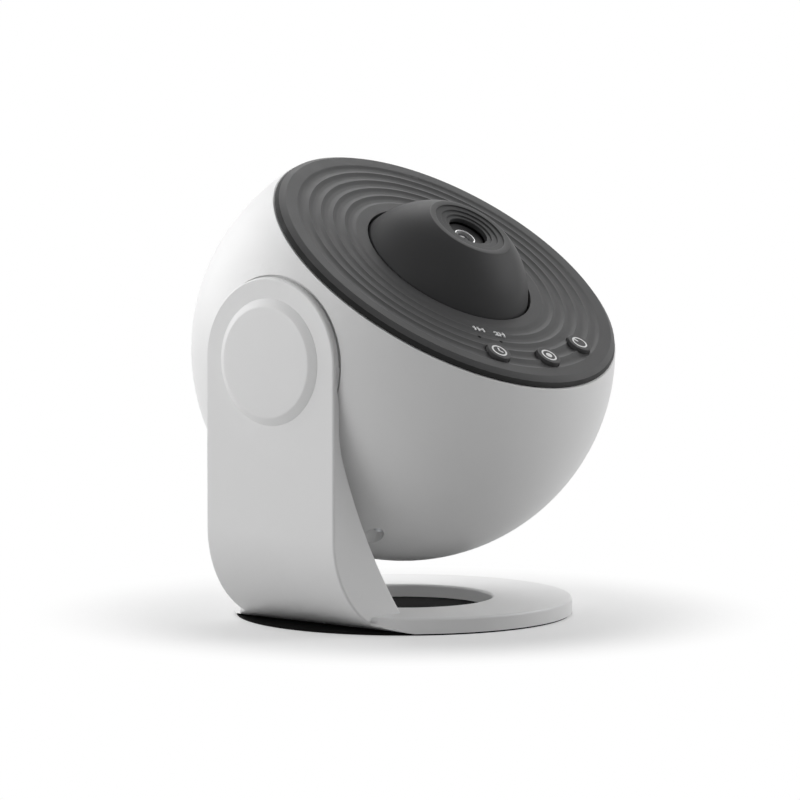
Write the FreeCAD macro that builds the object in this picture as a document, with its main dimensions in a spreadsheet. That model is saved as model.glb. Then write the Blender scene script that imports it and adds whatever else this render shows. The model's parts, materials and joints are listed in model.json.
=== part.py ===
import FreeCAD, Part

import math
import os
import re

import Sketcher
from FreeCAD import Placement, Rotation, Vector

# Home planetarium projector: a ball with a tilted front panel and a domed lens head,
# carried by one bent arm that grows out of a round foot.
# World frame: +Z up, the tilt axis is X (the arm stands at -X), the buttons face -Y.
# The origin is the middle of the underside of the foot.
# Ball frame: centred in the ball, its Z is the optical axis, its X is the world's X.
# All lengths are millimetres and all angles are degrees.

SIZES = [
    # the ball and where it is carried
    ("ball_radius", 75.0, "outside of the ball"),
    ("shell_wall", 2.5, "wall of the ball"),
    ("axis_height", 94.0, "tilt axis above the table"),
    ("rest_tilt", 34.5, "optical axis from the vertical"),
    ("slip", 0.3, "gap between pieces that move"),
    ("journal_gap", 0.04, "radial clearance of a running fit"),
    ("cut_over", 1.0, "how far a cutter runs on past the wall it opens"),
    # foot and arm
    ("foot_radius", 60.0, "outside of the foot"),
    ("foot_hole", 31.6, "radius of the opening in the foot"),
    ("foot_top", 6.1, "upper face of the foot"),
    ("pad_rise", 0.6, "underside of the foot shell"),
    ("foot_wall", 1.8, "upright walls of the foot and arm"),
    ("foot_roof", 1.6, "upper wall of the foot"),
    ("arm_inset", 3.1, "outer face of the arm inside the radius of the ball"),
    ("arm_half", 29.15, "half the width of the arm, radius of its head"),
    ("head_thick", 3.4, "arm thickness at the head"),
    ("bend_radius", 35.0, "outside of the bend into the foot"),
    ("knee_drop", 21.0, "start of the inner knee below the axis"),
    ("knee_radius", 35.0, "inner knee radius"),
    ("knee_angle", 20.0, "sweep of the knee"),
    ("sweep_radius", 200.0, "long inner curve of the arm"),
    ("cover_thick", 1.6, "inner cover of the arm"),
    ("cover_play", 0.1, "gap round the inner cover"),
    ("scoop_gap", 0.6, "gap between the ball and the arm"),
    ("flat_reach", 57.4, "finger flat of the foot from its middle"),
    ("flat_angle", 130.0, "direction of the finger flat"),
    ("flat_lip", 0.6, "lip left under the finger flat"),
    ("flat_half", 22.0, "half the length of the finger flat's cut"),
    ("hollow_drop", 31.0, "upper end of the arm's hollow below the axis"),
    ("cover_drop", 47.0, "upper end of the inner cover below the axis"),
    # weight and rubber pad
    ("pad_radius", 59.2, "rubber pad"),
    ("web_rise", 1.5, "upper face of the pad inside the foot opening"),
    ("web_gap", 0.4, "gap between that web and the foot"),
    ("weight_base", 1.2, "underside of the steel weight"),
    ("weight_play", 0.5, "gap round the weight"),
    ("weight_back", 1.4, "flat of the weight beyond the start of the bend"),
    ("stake_radius", 1.5, "posts that hold the weight"),
    ("stake_circle", 46.0, "circle of the posts"),
    ("stake_count", 3.0, "posts that hold the weight"),
    ("nut_radius", 3.5, "push nuts on the posts"),
    ("nut_thick", 0.4, "push nuts"),
    # tilt pivot
    ("flange_radius", 15.0, "flange of the pivot pin"),
    ("flange_thick", 1.2, "flange of the pivot pin"),
    ("pin_radius", 7.0, "journal of the pivot pin"),
    ("pin_thread", 5.0, "threaded end of the pivot pin"),
    ("thread_length", 5.9, "threaded end of the pivot pin"),
    ("bush_wall", 2.0, "wall of the pivot bush"),
    ("hub_radius", 12.0, "hub inside the ball"),
    ("hub_length", 19.5, "from the outer face of the arm to the inner end of the hub"),
    ("wave_thick", 0.5, "spring washer"),
    ("wave_radius", 11.0, "spring washer"),
    ("nut_across", 17.0, "pivot nut across flats"),
    ("nut_height", 4.0, "pivot nut"),
    ("flange_circle", 11.0, "circle of the flange screws"),
    ("flange_count", 3.0, "flange screws"),
    ("tip_gap", 0.3, "flange screw tips short of the inner face of the arm"),
    ("flange_screw", 1.2, "radius of a flange screw"),
    ("flange_head", 2.2, "radius of a flange screw head"),
    ("flange_head_rise", 0.8, "height of a flange screw head"),
    ("cap_base", 21.9, "pivot cap at the arm"),
    ("cap_top", 19.15, "pivot cap outer face"),
    ("cap_rise", 2.0, "pivot cap"),
    ("cap_hollow", 17.0, "recess of the cap"),
    ("cap_skin", 1.0, "outer wall of the cap"),
    # round pocket of the ball in which the arm head turns
    ("pocket_gap", 0.75, "pocket wall from the arm head"),
    ("washer_thick", 0.6, "friction washer"),
    ("washer_outer", 16.0, "friction washer"),
    ("pocket_wall", 2.0, "wall of the pocket"),
    # rim and front panel, heights are along the optical axis from the ball centre
    ("rim_height", 34.0, "edge of the ball shell"),
    ("panel_foot", 34.2, "lower edge of the panel bevel"),
    ("panel_inset", 0.09, "bevel inside the surface of the ball"),
    ("bevel_width", 3.26, "width of the bevel"),
    ("panel_face", 37.3, "face of the panel"),
    ("rim_flat", 4.3, "width of the flat rim"),
    ("ripple_inner", 36.0, "innermost crest of the ripples"),
    ("ripple_count", 5.0, "hollows between the crests"),
    ("panel_open", 31.75, "opening for the lens head"),
    ("panel_under", 35.0, "underside of the panel"),
    ("skirt_inset", 2.96, "skirt of the panel inside the bevel"),
    ("skirt_wall", 1.7, "skirt of the panel"),
    ("ledge_top", 31.0, "ledge in the ball that carries the skirt"),
    ("ledge_thick", 1.6, "that ledge"),
    ("ledge_reach", 2.0, "that ledge inside the skirt"),
    # buttons and lights
    ("button_inset", 10.1, "circle of the buttons inside the flat rim"),
    ("button_angle", 24.8, "angle between the buttons"),
    ("button_radius", 4.5, "button head"),
    ("button_rise", 1.0, "button above the panel face"),
    ("collar_radius", 5.4, "collar under the panel"),
    ("collar_thick", 1.4, "collar under the panel"),
    ("stem_radius", 1.5, "button stem"),
    ("stem_drop", 0.4, "stem below the collar"),
    ("light_inset", 8.3, "circle of the timer lights inside that of the buttons"),
    ("first_angle", 30.4, "angle of the first light"),
    ("second_angle", 19.2, "angle of the second light"),
    ("light_radius", 0.6, "light pipe"),
    ("light_play", 0.15, "gap round a light pipe"),
    ("light_drop", 0.8, "light pipe below the panel face"),
    # circuit board
    ("board_under", 27.4, "underside of the board"),
    ("board_thick", 1.6, "circuit board"),
    ("board_bite", 5.0, "board screws in their posts"),
    ("board_inner", 36.0, "circuit board"),
    ("board_margin", 4.7, "circuit board outside the circle of the buttons"),
    ("board_angle", 130.0, "angle that the board covers"),
    ("switch_side", 6.0, "switch body"),
    ("switch_rise", 2.6, "switch body"),
    ("plunger_rise", 0.7, "switch plunger"),
    ("post_radius", 2.2, "board posts"),
    ("post_near", 42.0, "middle post from the optical axis"),
    ("post_far", 47.0, "outer posts from the optical axis"),
    ("near_angle", 12.4, "middle post from the front"),
    ("far_angle", 52.0, "outer posts from the front"),
    # chassis
    ("deck_under", 14.0, "underside of the chassis deck"),
    ("deck_thick", 2.0, "chassis deck"),
    ("deck_radius", 50.0, "chassis deck"),
    ("case_wide_share", 0.512, "case screws from the middle, share of the ball radius"),
    ("case_long_share", 0.664, "case screws from the middle, share of the ball radius"),
    ("pillar_radius", 4.0, "chassis pillars"),
    ("pillar_share", 0.36, "foot of the pillars below the centre, share of the radius"),
    ("tower_radius", 5.0, "screw towers of the ball"),
    ("recess_radius", 3.4, "screw recess in the ball"),
    ("recess_share", 0.46, "end of the screw recess below the centre, share of the radius"),
    ("case_screw", 1.5, "radius of a case screw"),
    ("case_head", 2.8, "radius of a case screw head"),
    ("case_head_rise", 2.2, "case screw head"),
    ("case_bite", 8.0, "case screw in the pillar"),
    # light tube, lenses and lamp
    ("tube_bore", 17.0, "bore of the light tube"),
    ("tube_wall", 2.0, "wall of the light tube"),
    ("tube_flange", 24.0, "flanges of the light tube"),
    ("tube_bottom", 20.0, "lower end of the light tube below the ball centre"),
    ("lens_low", -12.0, "underside of the lower condenser lens"),
    ("lens_edge", 2.4, "edge of a condenser lens"),
    ("lens_curve", 34.0, "curved face of a condenser lens"),
    ("lens_apart", 14.0, "distance of the two lenses"),
    ("ring_wall", 1.6, "lens spacer ring"),
    ("lamp_board", 2.0, "lamp circuit board"),
    ("lamp_radius", 2.5, "lamp"),
    ("lamp_rise", 3.2, "lamp"),
    ("sink_base", 3.0, "base of the heat sink"),
    ("fin_length", 15.0, "fins of the heat sink"),
    ("fin_thick", 1.4, "fins of the heat sink"),
    ("fin_pitch", 6.0, "fins of the heat sink"),
    ("fin_side", 3.0, "fins on each side of the middle one"),
    ("sink_circle", 21.3, "circle of the heat sink screws"),
    ("sink_count", 3.0, "screws of the heat sink"),
    ("small_screw", 1.0, "radius of a small screw"),
    ("small_head", 1.8, "radius of a small screw head"),
    ("small_rise", 1.3, "height of a small screw head"),
    # film carrier and its drive
    ("spigot_radius", 20.0, "spigot that the film carrier turns on"),
    ("spigot_rise", 3.2, "spigot above the deck"),
    ("gear_module", 1.0, "tooth module"),
    ("gear_teeth", 60.0, "teeth of the film carrier"),
    ("pinion_teeth", 12.0, "teeth of the pinion"),
    ("gear_base", 16.3, "underside of the film carrier"),
    ("gear_thick", 4.0, "film carrier"),
    ("tooth_play", 0.2, "tooth flank play, measured round the pitch circle"),
    ("disc_radius", 25.0, "film disc"),
    ("disc_thick", 0.8, "film disc"),
    ("disc_play", 0.2, "gap round the film disc"),
    ("shaft_radius", 1.5, "motor shaft"),
    ("motor_radius", 10.0, "motor can"),
    ("motor_length", 30.0, "motor and gearbox"),
    ("motor_flange", 12.0, "motor flange"),
    ("motor_flange_thick", 6.0, "motor flange"),
    ("motor_ears", 9.5, "motor screws from the shaft"),
    ("motor_bite", 4.0, "motor screws in the motor"),
    # well that takes the lens head
    ("well_bore", 32.0, "bore of the well"),
    ("well_wall", 1.8, "wall of the well"),
    ("well_bottom", 21.0, "lower end of the well"),
    ("well_flange", 39.5, "flange of the well"),
    ("well_post", 3.0, "posts of the well"),
    ("well_circle", 36.0, "circle of the posts"),
    ("well_count", 3.0, "posts under the well"),
    ("well_angle", 30.0, "first post from the X axis"),
    ("well_bite", 4.0, "well screws in the posts"),
    ("seat_inner", 26.5, "seat of the lens head"),
    ("seat_top", 26.5, "seat of the lens head"),
    ("seat_thick", 2.0, "seat of the lens head"),
    # lens head
    ("base_radius", 31.0, "flange of the lens head"),
    ("base_thick", 2.0, "flange of the lens head"),
    ("bearing_outer", 28.25, "ring that the dome turns on"),
    ("bearing_inner", 24.5, "that ring"),
    ("bearing_rise", 4.8, "that ring above the flange"),
    ("keeper_outer", 29.7, "keeper ring"),
    ("keeper_thick", 1.2, "keeper ring"),
    ("keeper_circle", 26.4, "circle of the keeper screws"),
    ("keeper_count", 3.0, "keeper screws"),
    ("keeper_angle", 60.0, "first keeper screw from the X axis"),
    ("keeper_bite", 3.5, "keeper screws in the bearing wall"),
    ("keeper_screw", 0.8, "radius of a keeper screw"),
    ("guide_wall", 2.15, "wall of the guide tube"),
    ("guide_top", 43.0, "upper end of the guide tube"),
    # focusing dome
    ("dome_radius", 33.4, "outside of the dome"),
    ("dome_centre", 24.1, "height of the dome's centre"),
    ("dome_skirt", 31.35, "straight part of the dome"),
    ("dome_wall", 1.6, "wall of the dome"),
    ("dome_flat", 15.5, "flat top of the dome"),
    ("step_first", 13.2, "first step round the lens"),
    ("step_second", 10.9, "second step"),
    ("step_third", 8.8, "third step"),
    ("dome_hole", 7.3, "hole for the lens"),
    ("step_fall", 0.5, "depth of each step"),
    ("dome_crown", 3.1, "thickness of the top"),
    ("lip_height", 4.2, "inner lip of the dome"),
    ("curve_rise", 1.0, "straight part of the inside above the lip"),
    # focusing cam and lens barrel
    ("sleeve_wall", 2.0, "wall of the cam sleeve"),
    ("sleeve_gap", 0.4, "gap between guide tube and cam sleeve"),
    ("sleeve_bottom", 30.2, "lower end of the cam sleeve"),
    ("pin_height", 37.5, "follower pins at rest"),
    ("follower_radius", 1.2, "follower pin"),
    ("follower_reach", 15.6, "outer end of the follower pins"),
    ("follower_count", 3.0, "follower pins"),
    ("cam_play", 0.3, "gap between pin and cam slot"),
    ("groove_play", 0.1, "gap between pin and guide slot"),
    ("cam_rise", 6.0, "travel of the lens over half a turn"),
    ("cam_start", 120.0, "cam angle at the lowest point"),
    ("cam_low", 4.0, "lens travel below rest"),
    ("barrel_radius", 10.0, "lens barrel"),
    ("barrel_bottom", 30.0, "lower end of the lens barrel"),
    ("barrel_shoulder", 44.5, "shoulder of the lens barrel"),
    ("nose_radius", 6.9, "nose of the lens barrel"),
    ("nose_top", 50.0, "end of the nose"),
    ("nose_lip", 6.3, "inner edge of the nose rim"),
    ("front_seat", 45.0, "seat of the front lens"),
    ("front_radius", 3.5, "front lens"),
    ("front_curve", 7.0, "curved face of the front lens"),
    ("front_edge", 3.4, "edge of the front lens"),
    ("bezel_wall", 0.4, "bright ring round the front lens"),
    ("bezel_rise", 4.6, "bright ring round the front lens"),
    ("rear_radius", 8.0, "rear lens"),
    ("rear_edge", 2.4, "edge of the rear lens"),
    ("rear_curve", 20.0, "curved face of the rear lens"),
    ("rear_ring", 1.2, "ring that holds the rear lens"),
    ("rear_open", 6.4, "opening of that ring"),
    ("barrel_waist", 5.4, "bore between the lenses"),
    ("throat_drop", 2.0, "cone under the front lens"),
    # power inlet at the back of the ball
    ("inlet_angle", 34.5, "inlet below the equator of the ball frame"),
    ("inlet_sink", 1.0, "face of the inlet below the surface of the ball"),
    ("inlet_radius", 5.4, "inlet body in the wall of the ball"),
    ("inlet_flange", 7.2, "inlet flange"),
    ("inlet_collar", 2.1, "inlet flange below the face of the inlet"),
    ("inlet_flange_thick", 2.4, "inlet flange"),
    ("inlet_body", 5.0, "inlet body inside the ball"),
    ("inlet_bore", 2.8, "bore for the plug"),
    ("inlet_depth", 9.5, "depth of the bore"),
    ("inlet_back", 3.5, "material behind the bore"),
    ("inlet_pin", 1.0, "contact pin"),
    ("inlet_pin_sink", 1.5, "contact pin below the face"),
]

# sizes that follow from the ones above
DERIVED = [
    ("arm_face", "ball_radius - arm_inset", "outer face of the arm from the ball centre"),
    ("hub_end", "arm_face - hub_length", "inner end of the hub from the ball centre"),
    ("weight_flat", "arm_face - bend_radius - weight_back", "flat of the weight"),
    ("panel_edge", "sqrt(ball_radius * ball_radius - panel_foot * panel_foot) - panel_inset",
     "outer radius of the bevel"),
    ("face_edge", "panel_edge - bevel_width", "outer radius of the flat rim"),
    ("ripple_outer", "face_edge - rim_flat", "outermost crest of the ripples"),
    ("ripple_pitch", "(ripple_outer - ripple_inner) / ripple_count", "distance of the crests"),
    ("skirt_outer", "panel_edge - skirt_inset", "outside of the panel's skirt"),
    ("skirt_inner", "skirt_outer - skirt_wall", "inside of the panel's skirt"),
    ("ledge_inner", "skirt_inner - ledge_reach", "inner radius of the ledge"),
    ("button_circle", "face_edge - button_inset", "circle of the buttons"),
    ("light_circle", "button_circle - light_inset", "circle of the timer lights"),
    ("board_outer", "button_circle + board_margin", "outside of the circuit board"),
    ("case_x", "ball_radius * case_wide_share", "case screws from the middle"),
    ("case_y", "ball_radius * case_long_share", "case screws from the middle"),
    ("pillar_foot", "ball_radius * pillar_share", "foot of the pillars below the centre"),
    ("recess_end", "ball_radius * recess_share", "end of the screw recess below the centre"),
    ("inlet_face", "ball_radius - inlet_sink", "face of the inlet from the ball centre"),
    ("inlet_flange_top", "inlet_face - inlet_collar", "inlet flange from the ball centre"),
]

document = FreeCAD.newDocument("planetarium_projector")
sheet = document.addObject("Spreadsheet::Sheet", "dims")
ROWS = [(alias, str(number), note) for alias, number, note in SIZES]
ROWS += [(alias, "=" + formula, note) for alias, formula, note in DERIVED]
for row, (alias, content, note) in enumerate(ROWS, start=1):
    sheet.set("A%d" % row, content)
    sheet.setAlias("A%d" % row, alias)
    sheet.set("B%d" % row, note)
document.recompute()

ALIASES = {alias for alias, content, note in ROWS}
NODES = {}
counter = [0]


def bound(expression):
    """Expression with each size name pointing at its cell."""
    def swap(match):
        word = match.group(0)
        return "dims." + word if word in ALIASES else word
    return re.sub(r"[a-z_][a-z0-9_]*", swap, str(expression))


def value(expression):
    """Present value of an expression in the size names."""
    result = sheet.evalExpression(bound(expression))
    return float(getattr(result, "Value", result))


def fresh(name):
    """Internal name for a helper object."""
    counter[0] += 1
    return "%s_%03d" % (name, counter[0])


def bind(thing, prop, expression):
    """Set a property from an expression."""
    thing.setExpression(prop, bound(expression))


def place(thing, where=(0, 0, 0), axis=None, angle="0"):
    """Put an object at a point, turned by an angle about an axis."""
    if axis is not None:
        thing.Placement = Placement(Vector(0, 0, 0), Rotation(axis, value(angle) or 1.0))
        bind(thing, ".Placement.Rotation.Angle", angle)
    for letter, expression in zip("xyz", where):
        if str(expression) != "0":
            bind(thing, ".Placement.Base." + letter, expression)
    return thing


def centre_of_arc(start, end, radius, side):
    """Centre of the arc from start to end that bulges to the left or right of its chord."""
    middle = (start + end) * 0.5
    chord = end - start
    half = chord.Length / 2.0
    height = math.sqrt(max(radius * radius - half * half, 0.0))
    across = Vector(chord.y, -chord.x, 0)
    across.normalize()
    return middle + across * (height if side == "left" else -height)


def outline(body, plane_role, points):
    """Closed sketch on one of the body's own planes.

    Each point is (x, y), or (x, y, radius, side) when an arc leads to the next point.
    """
    plane = [item for item in body.Origin.OriginFeatures if item.Role == plane_role][0]
    sketch = body.newObject("Sketcher::SketchObject", fresh("outline"))
    sketch.AttachmentSupport = [(plane, "")]
    sketch.MapMode = "FlatFace"
    spots = [Vector(value(point[0]), value(point[1]), 0) for point in points]
    count = len(points)
    ends = []
    for index, point in enumerate(points):
        start = spots[index]
        end = spots[(index + 1) % count]
        if len(point) == 2:
            sketch.addGeometry(Part.LineSegment(start, end))
            ends.append((1, 2))
            continue
        radius = value(point[2])
        centre = centre_of_arc(start, end, radius, point[3])
        first = math.atan2(start.y - centre.y, start.x - centre.x)
        last = math.atan2(end.y - centre.y, end.x - centre.x)
        circle = Part.Circle(centre, Vector(0, 0, 1), radius)
        if point[3] == "right":
            sketch.addGeometry(Part.ArcOfCircle(circle, first, last))
            ends.append((1, 2))
        else:
            sketch.addGeometry(Part.ArcOfCircle(circle, last, first))
            ends.append((2, 1))
    for index in range(count):
        after = (index + 1) % count
        sketch.addConstraint(Sketcher.Constraint(
            "Coincident", index, ends[index][1], after, ends[after][0]))
    for index, point in enumerate(points):
        for kind, expression, number in (("DistanceX", point[0], spots[index].x),
                                         ("DistanceY", point[1], spots[index].y)):
            where = sketch.addConstraint(Sketcher.Constraint(
                kind, -1, 1, index, ends[index][0], number))
            if re.search("[a-z]", str(expression)):
                sketch.setExpression("Constraints[%d]" % where, bound(expression))
        if len(point) > 2:
            where = sketch.addConstraint(Sketcher.Constraint("Radius", index, value(point[2])))
            sketch.setExpression("Constraints[%d]" % where, bound(point[2]))
    return sketch


def turned(points):
    """Body turned about its Z axis from points (radius, height)."""
    body = document.addObject("PartDesign::Body", fresh("turned"))
    sketch = outline(body, "XZ_Plane", points)
    spin = body.newObject("PartDesign::Revolution", fresh("spin"))
    spin.Profile = sketch
    spin.ReferenceAxis = (sketch, ["V_Axis"])
    spin.Angle = 360
    return body


def slab(points, plane_role, length):
    """Body padded to both sides of one of its own planes."""
    body = document.addObject("PartDesign::Body", fresh("slab"))
    sketch = outline(body, plane_role, points)
    pad = body.newObject("PartDesign::Pad", fresh("pad"))
    pad.Profile = sketch
    pad.Midplane = True
    bind(pad, "Length", length)
    return body


def cylinder(radius, bottom, height, x="0", y="0"):
    """Cylinder along Z with its lower end at the height bottom."""
    item = document.addObject("Part::Cylinder", fresh("cylinder"))
    bind(item, "Radius", radius)
    bind(item, "Height", height)
    return place(item, (x, y, bottom))


def cylinder_x(radius, start, length, height="0"):
    """Cylinder along X from x = start."""
    item = document.addObject("Part::Cylinder", fresh("cylinder"))
    bind(item, "Radius", radius)
    bind(item, "Height", length)
    return place(item, (start, "0", height), Vector(0, 1, 0), "90")


def ring(outer, inner, bottom, height):
    """Plain ring about Z."""
    return cut(cylinder(outer, bottom, height), [cylinder(inner, bottom, height)])


def block(width, depth, height, x, y, z):
    """Box with its lowest corner at (x, y, z)."""
    item = document.addObject("Part::Box", fresh("block"))
    bind(item, "Length", width)
    bind(item, "Width", depth)
    bind(item, "Height", height)
    return place(item, (x, y, z))


def ball(radius):
    """Whole sphere about the origin."""
    item = document.addObject("Part::Sphere", fresh("ball"))
    bind(item, "Radius", radius)
    return item


def join(pieces):
    """Union of several objects."""
    item = document.addObject("Part::MultiFuse", fresh("join"))
    item.Shapes = pieces
    return item


def group(pieces):
    """Separate solids kept side by side."""
    item = document.addObject("Part::Compound", fresh("group"))
    item.Links = pieces
    return item


def cut(base, tools):
    """Base with every tool taken away."""
    item = document.addObject("Part::Cut", fresh("cut"))
    item.Base = base
    item.Tool = tools[0] if len(tools) == 1 else join(tools)
    return item


def common(first, second):
    """What two objects share."""
    item = document.addObject("Part::Common", fresh("common"))
    item.Base = first
    item.Tool = second
    return item


def around(maker, count, first="0"):
    """Copies of a piece at even angles about Z; the count is the name of a size."""
    pieces = []
    for index in range(int(value(count))):
        angle = "(%s) + %d * 360 / %s" % (first, index, count)
        pieces.append(place(group([maker()]), axis=Vector(0, 0, 1), angle=angle))
    return pieces


def node(label, item, frame="world"):
    """Name a finished piece and put it in its frame."""
    if frame == "ball":
        item = group([item])
        item.Placement = Placement(Vector(0, 0, 0), Rotation(Vector(1, 0, 0), 1.0))
        bind(item, ".Placement.Rotation.Angle", "rest_tilt")
        bind(item, ".Placement.Base.z", "axis_height")
    item.Label = label
    NODES[label] = item
    return item


def screw(thread, head, head_rise, tip, seat, x="0", y="0", head_up=True):
    """Screw along Z: its head sits on the height seat and its tip is at the height tip."""
    if head_up:
        points = [("0", tip), (thread, tip), (thread, seat), (head, seat),
                  (head, "(%s) + (%s)" % (seat, head_rise)),
                  ("0", "(%s) + (%s)" % (seat, head_rise))]
    else:
        points = [("0", "(%s) - (%s)" % (seat, head_rise)),
                  (head, "(%s) - (%s)" % (seat, head_rise)),
                  (head, seat), (thread, seat), (thread, tip), ("0", tip)]
    return place(turned(points), (x, y, "0"))


# ---------------------------------------------------------------- stand: foot and arm
# The side view of the arm: an upright outer face, and an inner face that runs straight
# down from the head, turns through a knee and sweeps into the foot as one long curve.
knee_x = "(head_thick + knee_radius - arm_face)"
knee_z = "(axis_height - knee_drop)"
sweep_x = "(%s + (sweep_radius - knee_radius) * cos(knee_angle))" % knee_x
sweep_z = "(%s + (sweep_radius - knee_radius) * sin(knee_angle))" % knee_z


def arm_side(depth, outer):
    """Outline of the arm, its inner face moved outward by depth, its outer face at -outer."""
    knee = "(knee_radius + %s)" % depth
    sweep = "(sweep_radius + %s)" % depth
    inner = "(head_thick + %s - arm_face)" % depth
    return [
        ("0 - (%s)" % outer, "axis_height"),
        ("0 - (%s)" % outer, "0"),
        ("%s - sqrt(%s * %s - %s * %s)" % (sweep_x, sweep, sweep, sweep_z, sweep_z), "0",
         sweep, "left"),
        ("%s - %s * cos(knee_angle)" % (knee_x, knee),
         "%s - %s * sin(knee_angle)" % (knee_z, knee), knee, "left"),
        (inner, knee_z),
        (inner, "axis_height"),
    ]


def bend_waste(depth):
    """Everything outside the bend, whose surface lies depth inside the outer face."""
    corner = block("2 * arm_face", "3 * foot_radius", "2 * bend_radius",
                   "bend_radius - 3 * arm_face", "-1.5 * foot_radius", "-bend_radius")
    roller = document.addObject("Part::Cylinder", fresh("roller"))
    bind(roller, "Radius", "bend_radius - (%s)" % depth)
    bind(roller, "Height", "3 * foot_radius")
    place(roller, ("bend_radius - arm_face", "1.5 * foot_radius", "bend_radius"),
          Vector(1, 0, 0), "90")
    upper = block("2 * arm_face", "3 * foot_radius", "2 * bend_radius",
                  "bend_radius - 3 * arm_face", "-1.5 * foot_radius", "bend_radius")
    return cut(corner, [roller, upper])


def below(item, depth):
    """What of an item lies further than depth below the tilt axis."""
    lid = block("4 * foot_radius", "4 * foot_radius", "2 * axis_height",
                "-2 * foot_radius", "-2 * foot_radius", "axis_height - (%s)" % depth)
    return cut(item, [lid])


def beyond_flat(reach, bottom):
    """Block outside the finger flat at the back of the foot, for lifting the pad off."""
    item = block("foot_radius", "2 * flat_half", "foot_top", reach, "-flat_half", bottom)
    return place(group([item]), axis=Vector(0, 0, 1), angle="flat_angle")


underside = block("4 * foot_radius", "4 * foot_radius", "pad_rise",
                  "-2 * foot_radius", "-2 * foot_radius", "0")
arm = slab(arm_side("0", "arm_face"), "XZ_Plane", "2 * arm_half")
arm_head = cylinder_x("arm_half", "-arm_face", "head_thick", "axis_height")
foot = cylinder("foot_radius", "0", "foot_top")
opening = cylinder("foot_hole", "0", "foot_top")

# the ball passes close to the arm everywhere but at the round head
head_keep = cylinder_x("arm_half", "-arm_face", "arm_face", "axis_height")
scoop = join([
    cut(place(ball("ball_radius + scoop_gap"), ("0", "0", "axis_height")), [head_keep]),
    cylinder_x("arm_half", "head_thick - arm_face", "arm_face", "axis_height")])
scoop_wall = place(ball("ball_radius + scoop_gap + foot_wall"), ("0", "0", "axis_height"))

# hollow of the arm, open to the underside, and the tray of the foot
arm_hollow = slab(arm_side("cover_thick", "arm_face - foot_wall"), "XZ_Plane",
                  "2 * (arm_half - foot_wall)")
arm_hollow = below(cut(arm_hollow, [scoop_wall]), "hollow_drop")
tray = cut(cylinder("foot_radius - foot_wall", "0", "foot_top - foot_roof"),
           [cylinder("foot_hole + foot_wall", "0", "foot_top"),
            beyond_flat("flat_reach - foot_wall", "0")])

# the inner cover closes the hollow between the side walls, down to the foot
cover_room = below(slab(arm_side("0", "arm_face - foot_wall"), "XZ_Plane",
                        "2 * (arm_half - foot_wall)"), "cover_drop")
cover_sink = block("4 * foot_radius", "4 * foot_radius", "foot_top - foot_roof",
                   "-2 * foot_radius", "-2 * foot_radius", "0")
cover_room = cut(cover_room, [cover_sink])
hollow = cut(join([arm_hollow, tray, cover_room]), [bend_waste("foot_wall")])

stakes = around(lambda: cylinder("stake_radius", "weight_base - nut_thick",
                                 "foot_top - weight_base", x="stake_circle"), "stake_count")
counterbore = cylinder_x("flange_radius", "-arm_face", "flange_thick", "axis_height")
pin_hole = cylinder_x("pin_radius", "-arm_face", "head_thick", "axis_height")


def flange_hole(radius, start, length):
    """Cylinder along Z on the circle of the flange screws."""
    return cylinder(radius, start, length, x="flange_circle")


def at_pivot(item):
    """Turn a piece made along Z so that its Z points out of the arm, from the arm's face."""
    return place(item, ("-arm_face", "0", "axis_height"), Vector(0, 1, 0), "-90")


screw_bores = at_pivot(group(around(
    lambda: flange_hole("flange_screw", "-head_thick", "head_thick"), "flange_count")))
shell_outside = cut(join([arm, arm_head, foot]), [
    opening, bend_waste("0"), underside, beyond_flat("flat_reach", "pad_rise + flat_lip")])
stand_shell = cut(shell_outside, [hollow, scoop])
stand_shell = cut(join([stand_shell] + stakes), [counterbore, pin_hole, screw_bores])
node("stand_shell", stand_shell)

cover_body = below(slab(arm_side("0", "arm_face - foot_wall"), "XZ_Plane",
                        "2 * (arm_half - foot_wall - cover_play)"),
                   "cover_drop + cover_play")
cover_back = slab(arm_side("cover_thick", "arm_face"), "XZ_Plane", "2 * arm_half")
cover_low = block("4 * foot_radius", "4 * foot_radius", "foot_top - foot_roof + cover_play",
                  "-2 * foot_radius", "-2 * foot_radius", "0")
node("stand_cover", cut(cover_body, [cover_back, cover_low, scoop]))

# ------------------------------------------------------ stand: weight, pad and fastenings
weight = cut(
    cylinder("foot_radius - foot_wall - weight_play", "weight_base",
             "foot_top - foot_roof - weight_base"),
    [cylinder("foot_hole + foot_wall + weight_play", "0", "foot_top"),
     block("2 * foot_radius", "4 * foot_radius", "foot_top",
           "-weight_flat - 2 * foot_radius", "-2 * foot_radius", "0"),
     beyond_flat("flat_reach - foot_wall - weight_play", "0")]
    + around(lambda: cylinder("stake_radius", "0", "foot_top", x="stake_circle"),
             "stake_count"))
node("foot_weight", weight)
node("push_nuts", group(around(
    lambda: place(turned([("stake_radius", "weight_base - nut_thick"),
                          ("nut_radius", "weight_base - nut_thick"),
                          ("nut_radius", "weight_base"),
                          ("stake_radius", "weight_base")]), ("stake_circle", "0", "0")),
    "stake_count")))
node("foot_pad", turned([
    ("0", "0"), ("pad_radius", "0"), ("pad_radius", "pad_rise"),
    ("foot_hole - web_gap", "pad_rise"), ("foot_hole - web_gap", "web_rise"),
    ("0", "web_rise")]))

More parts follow.
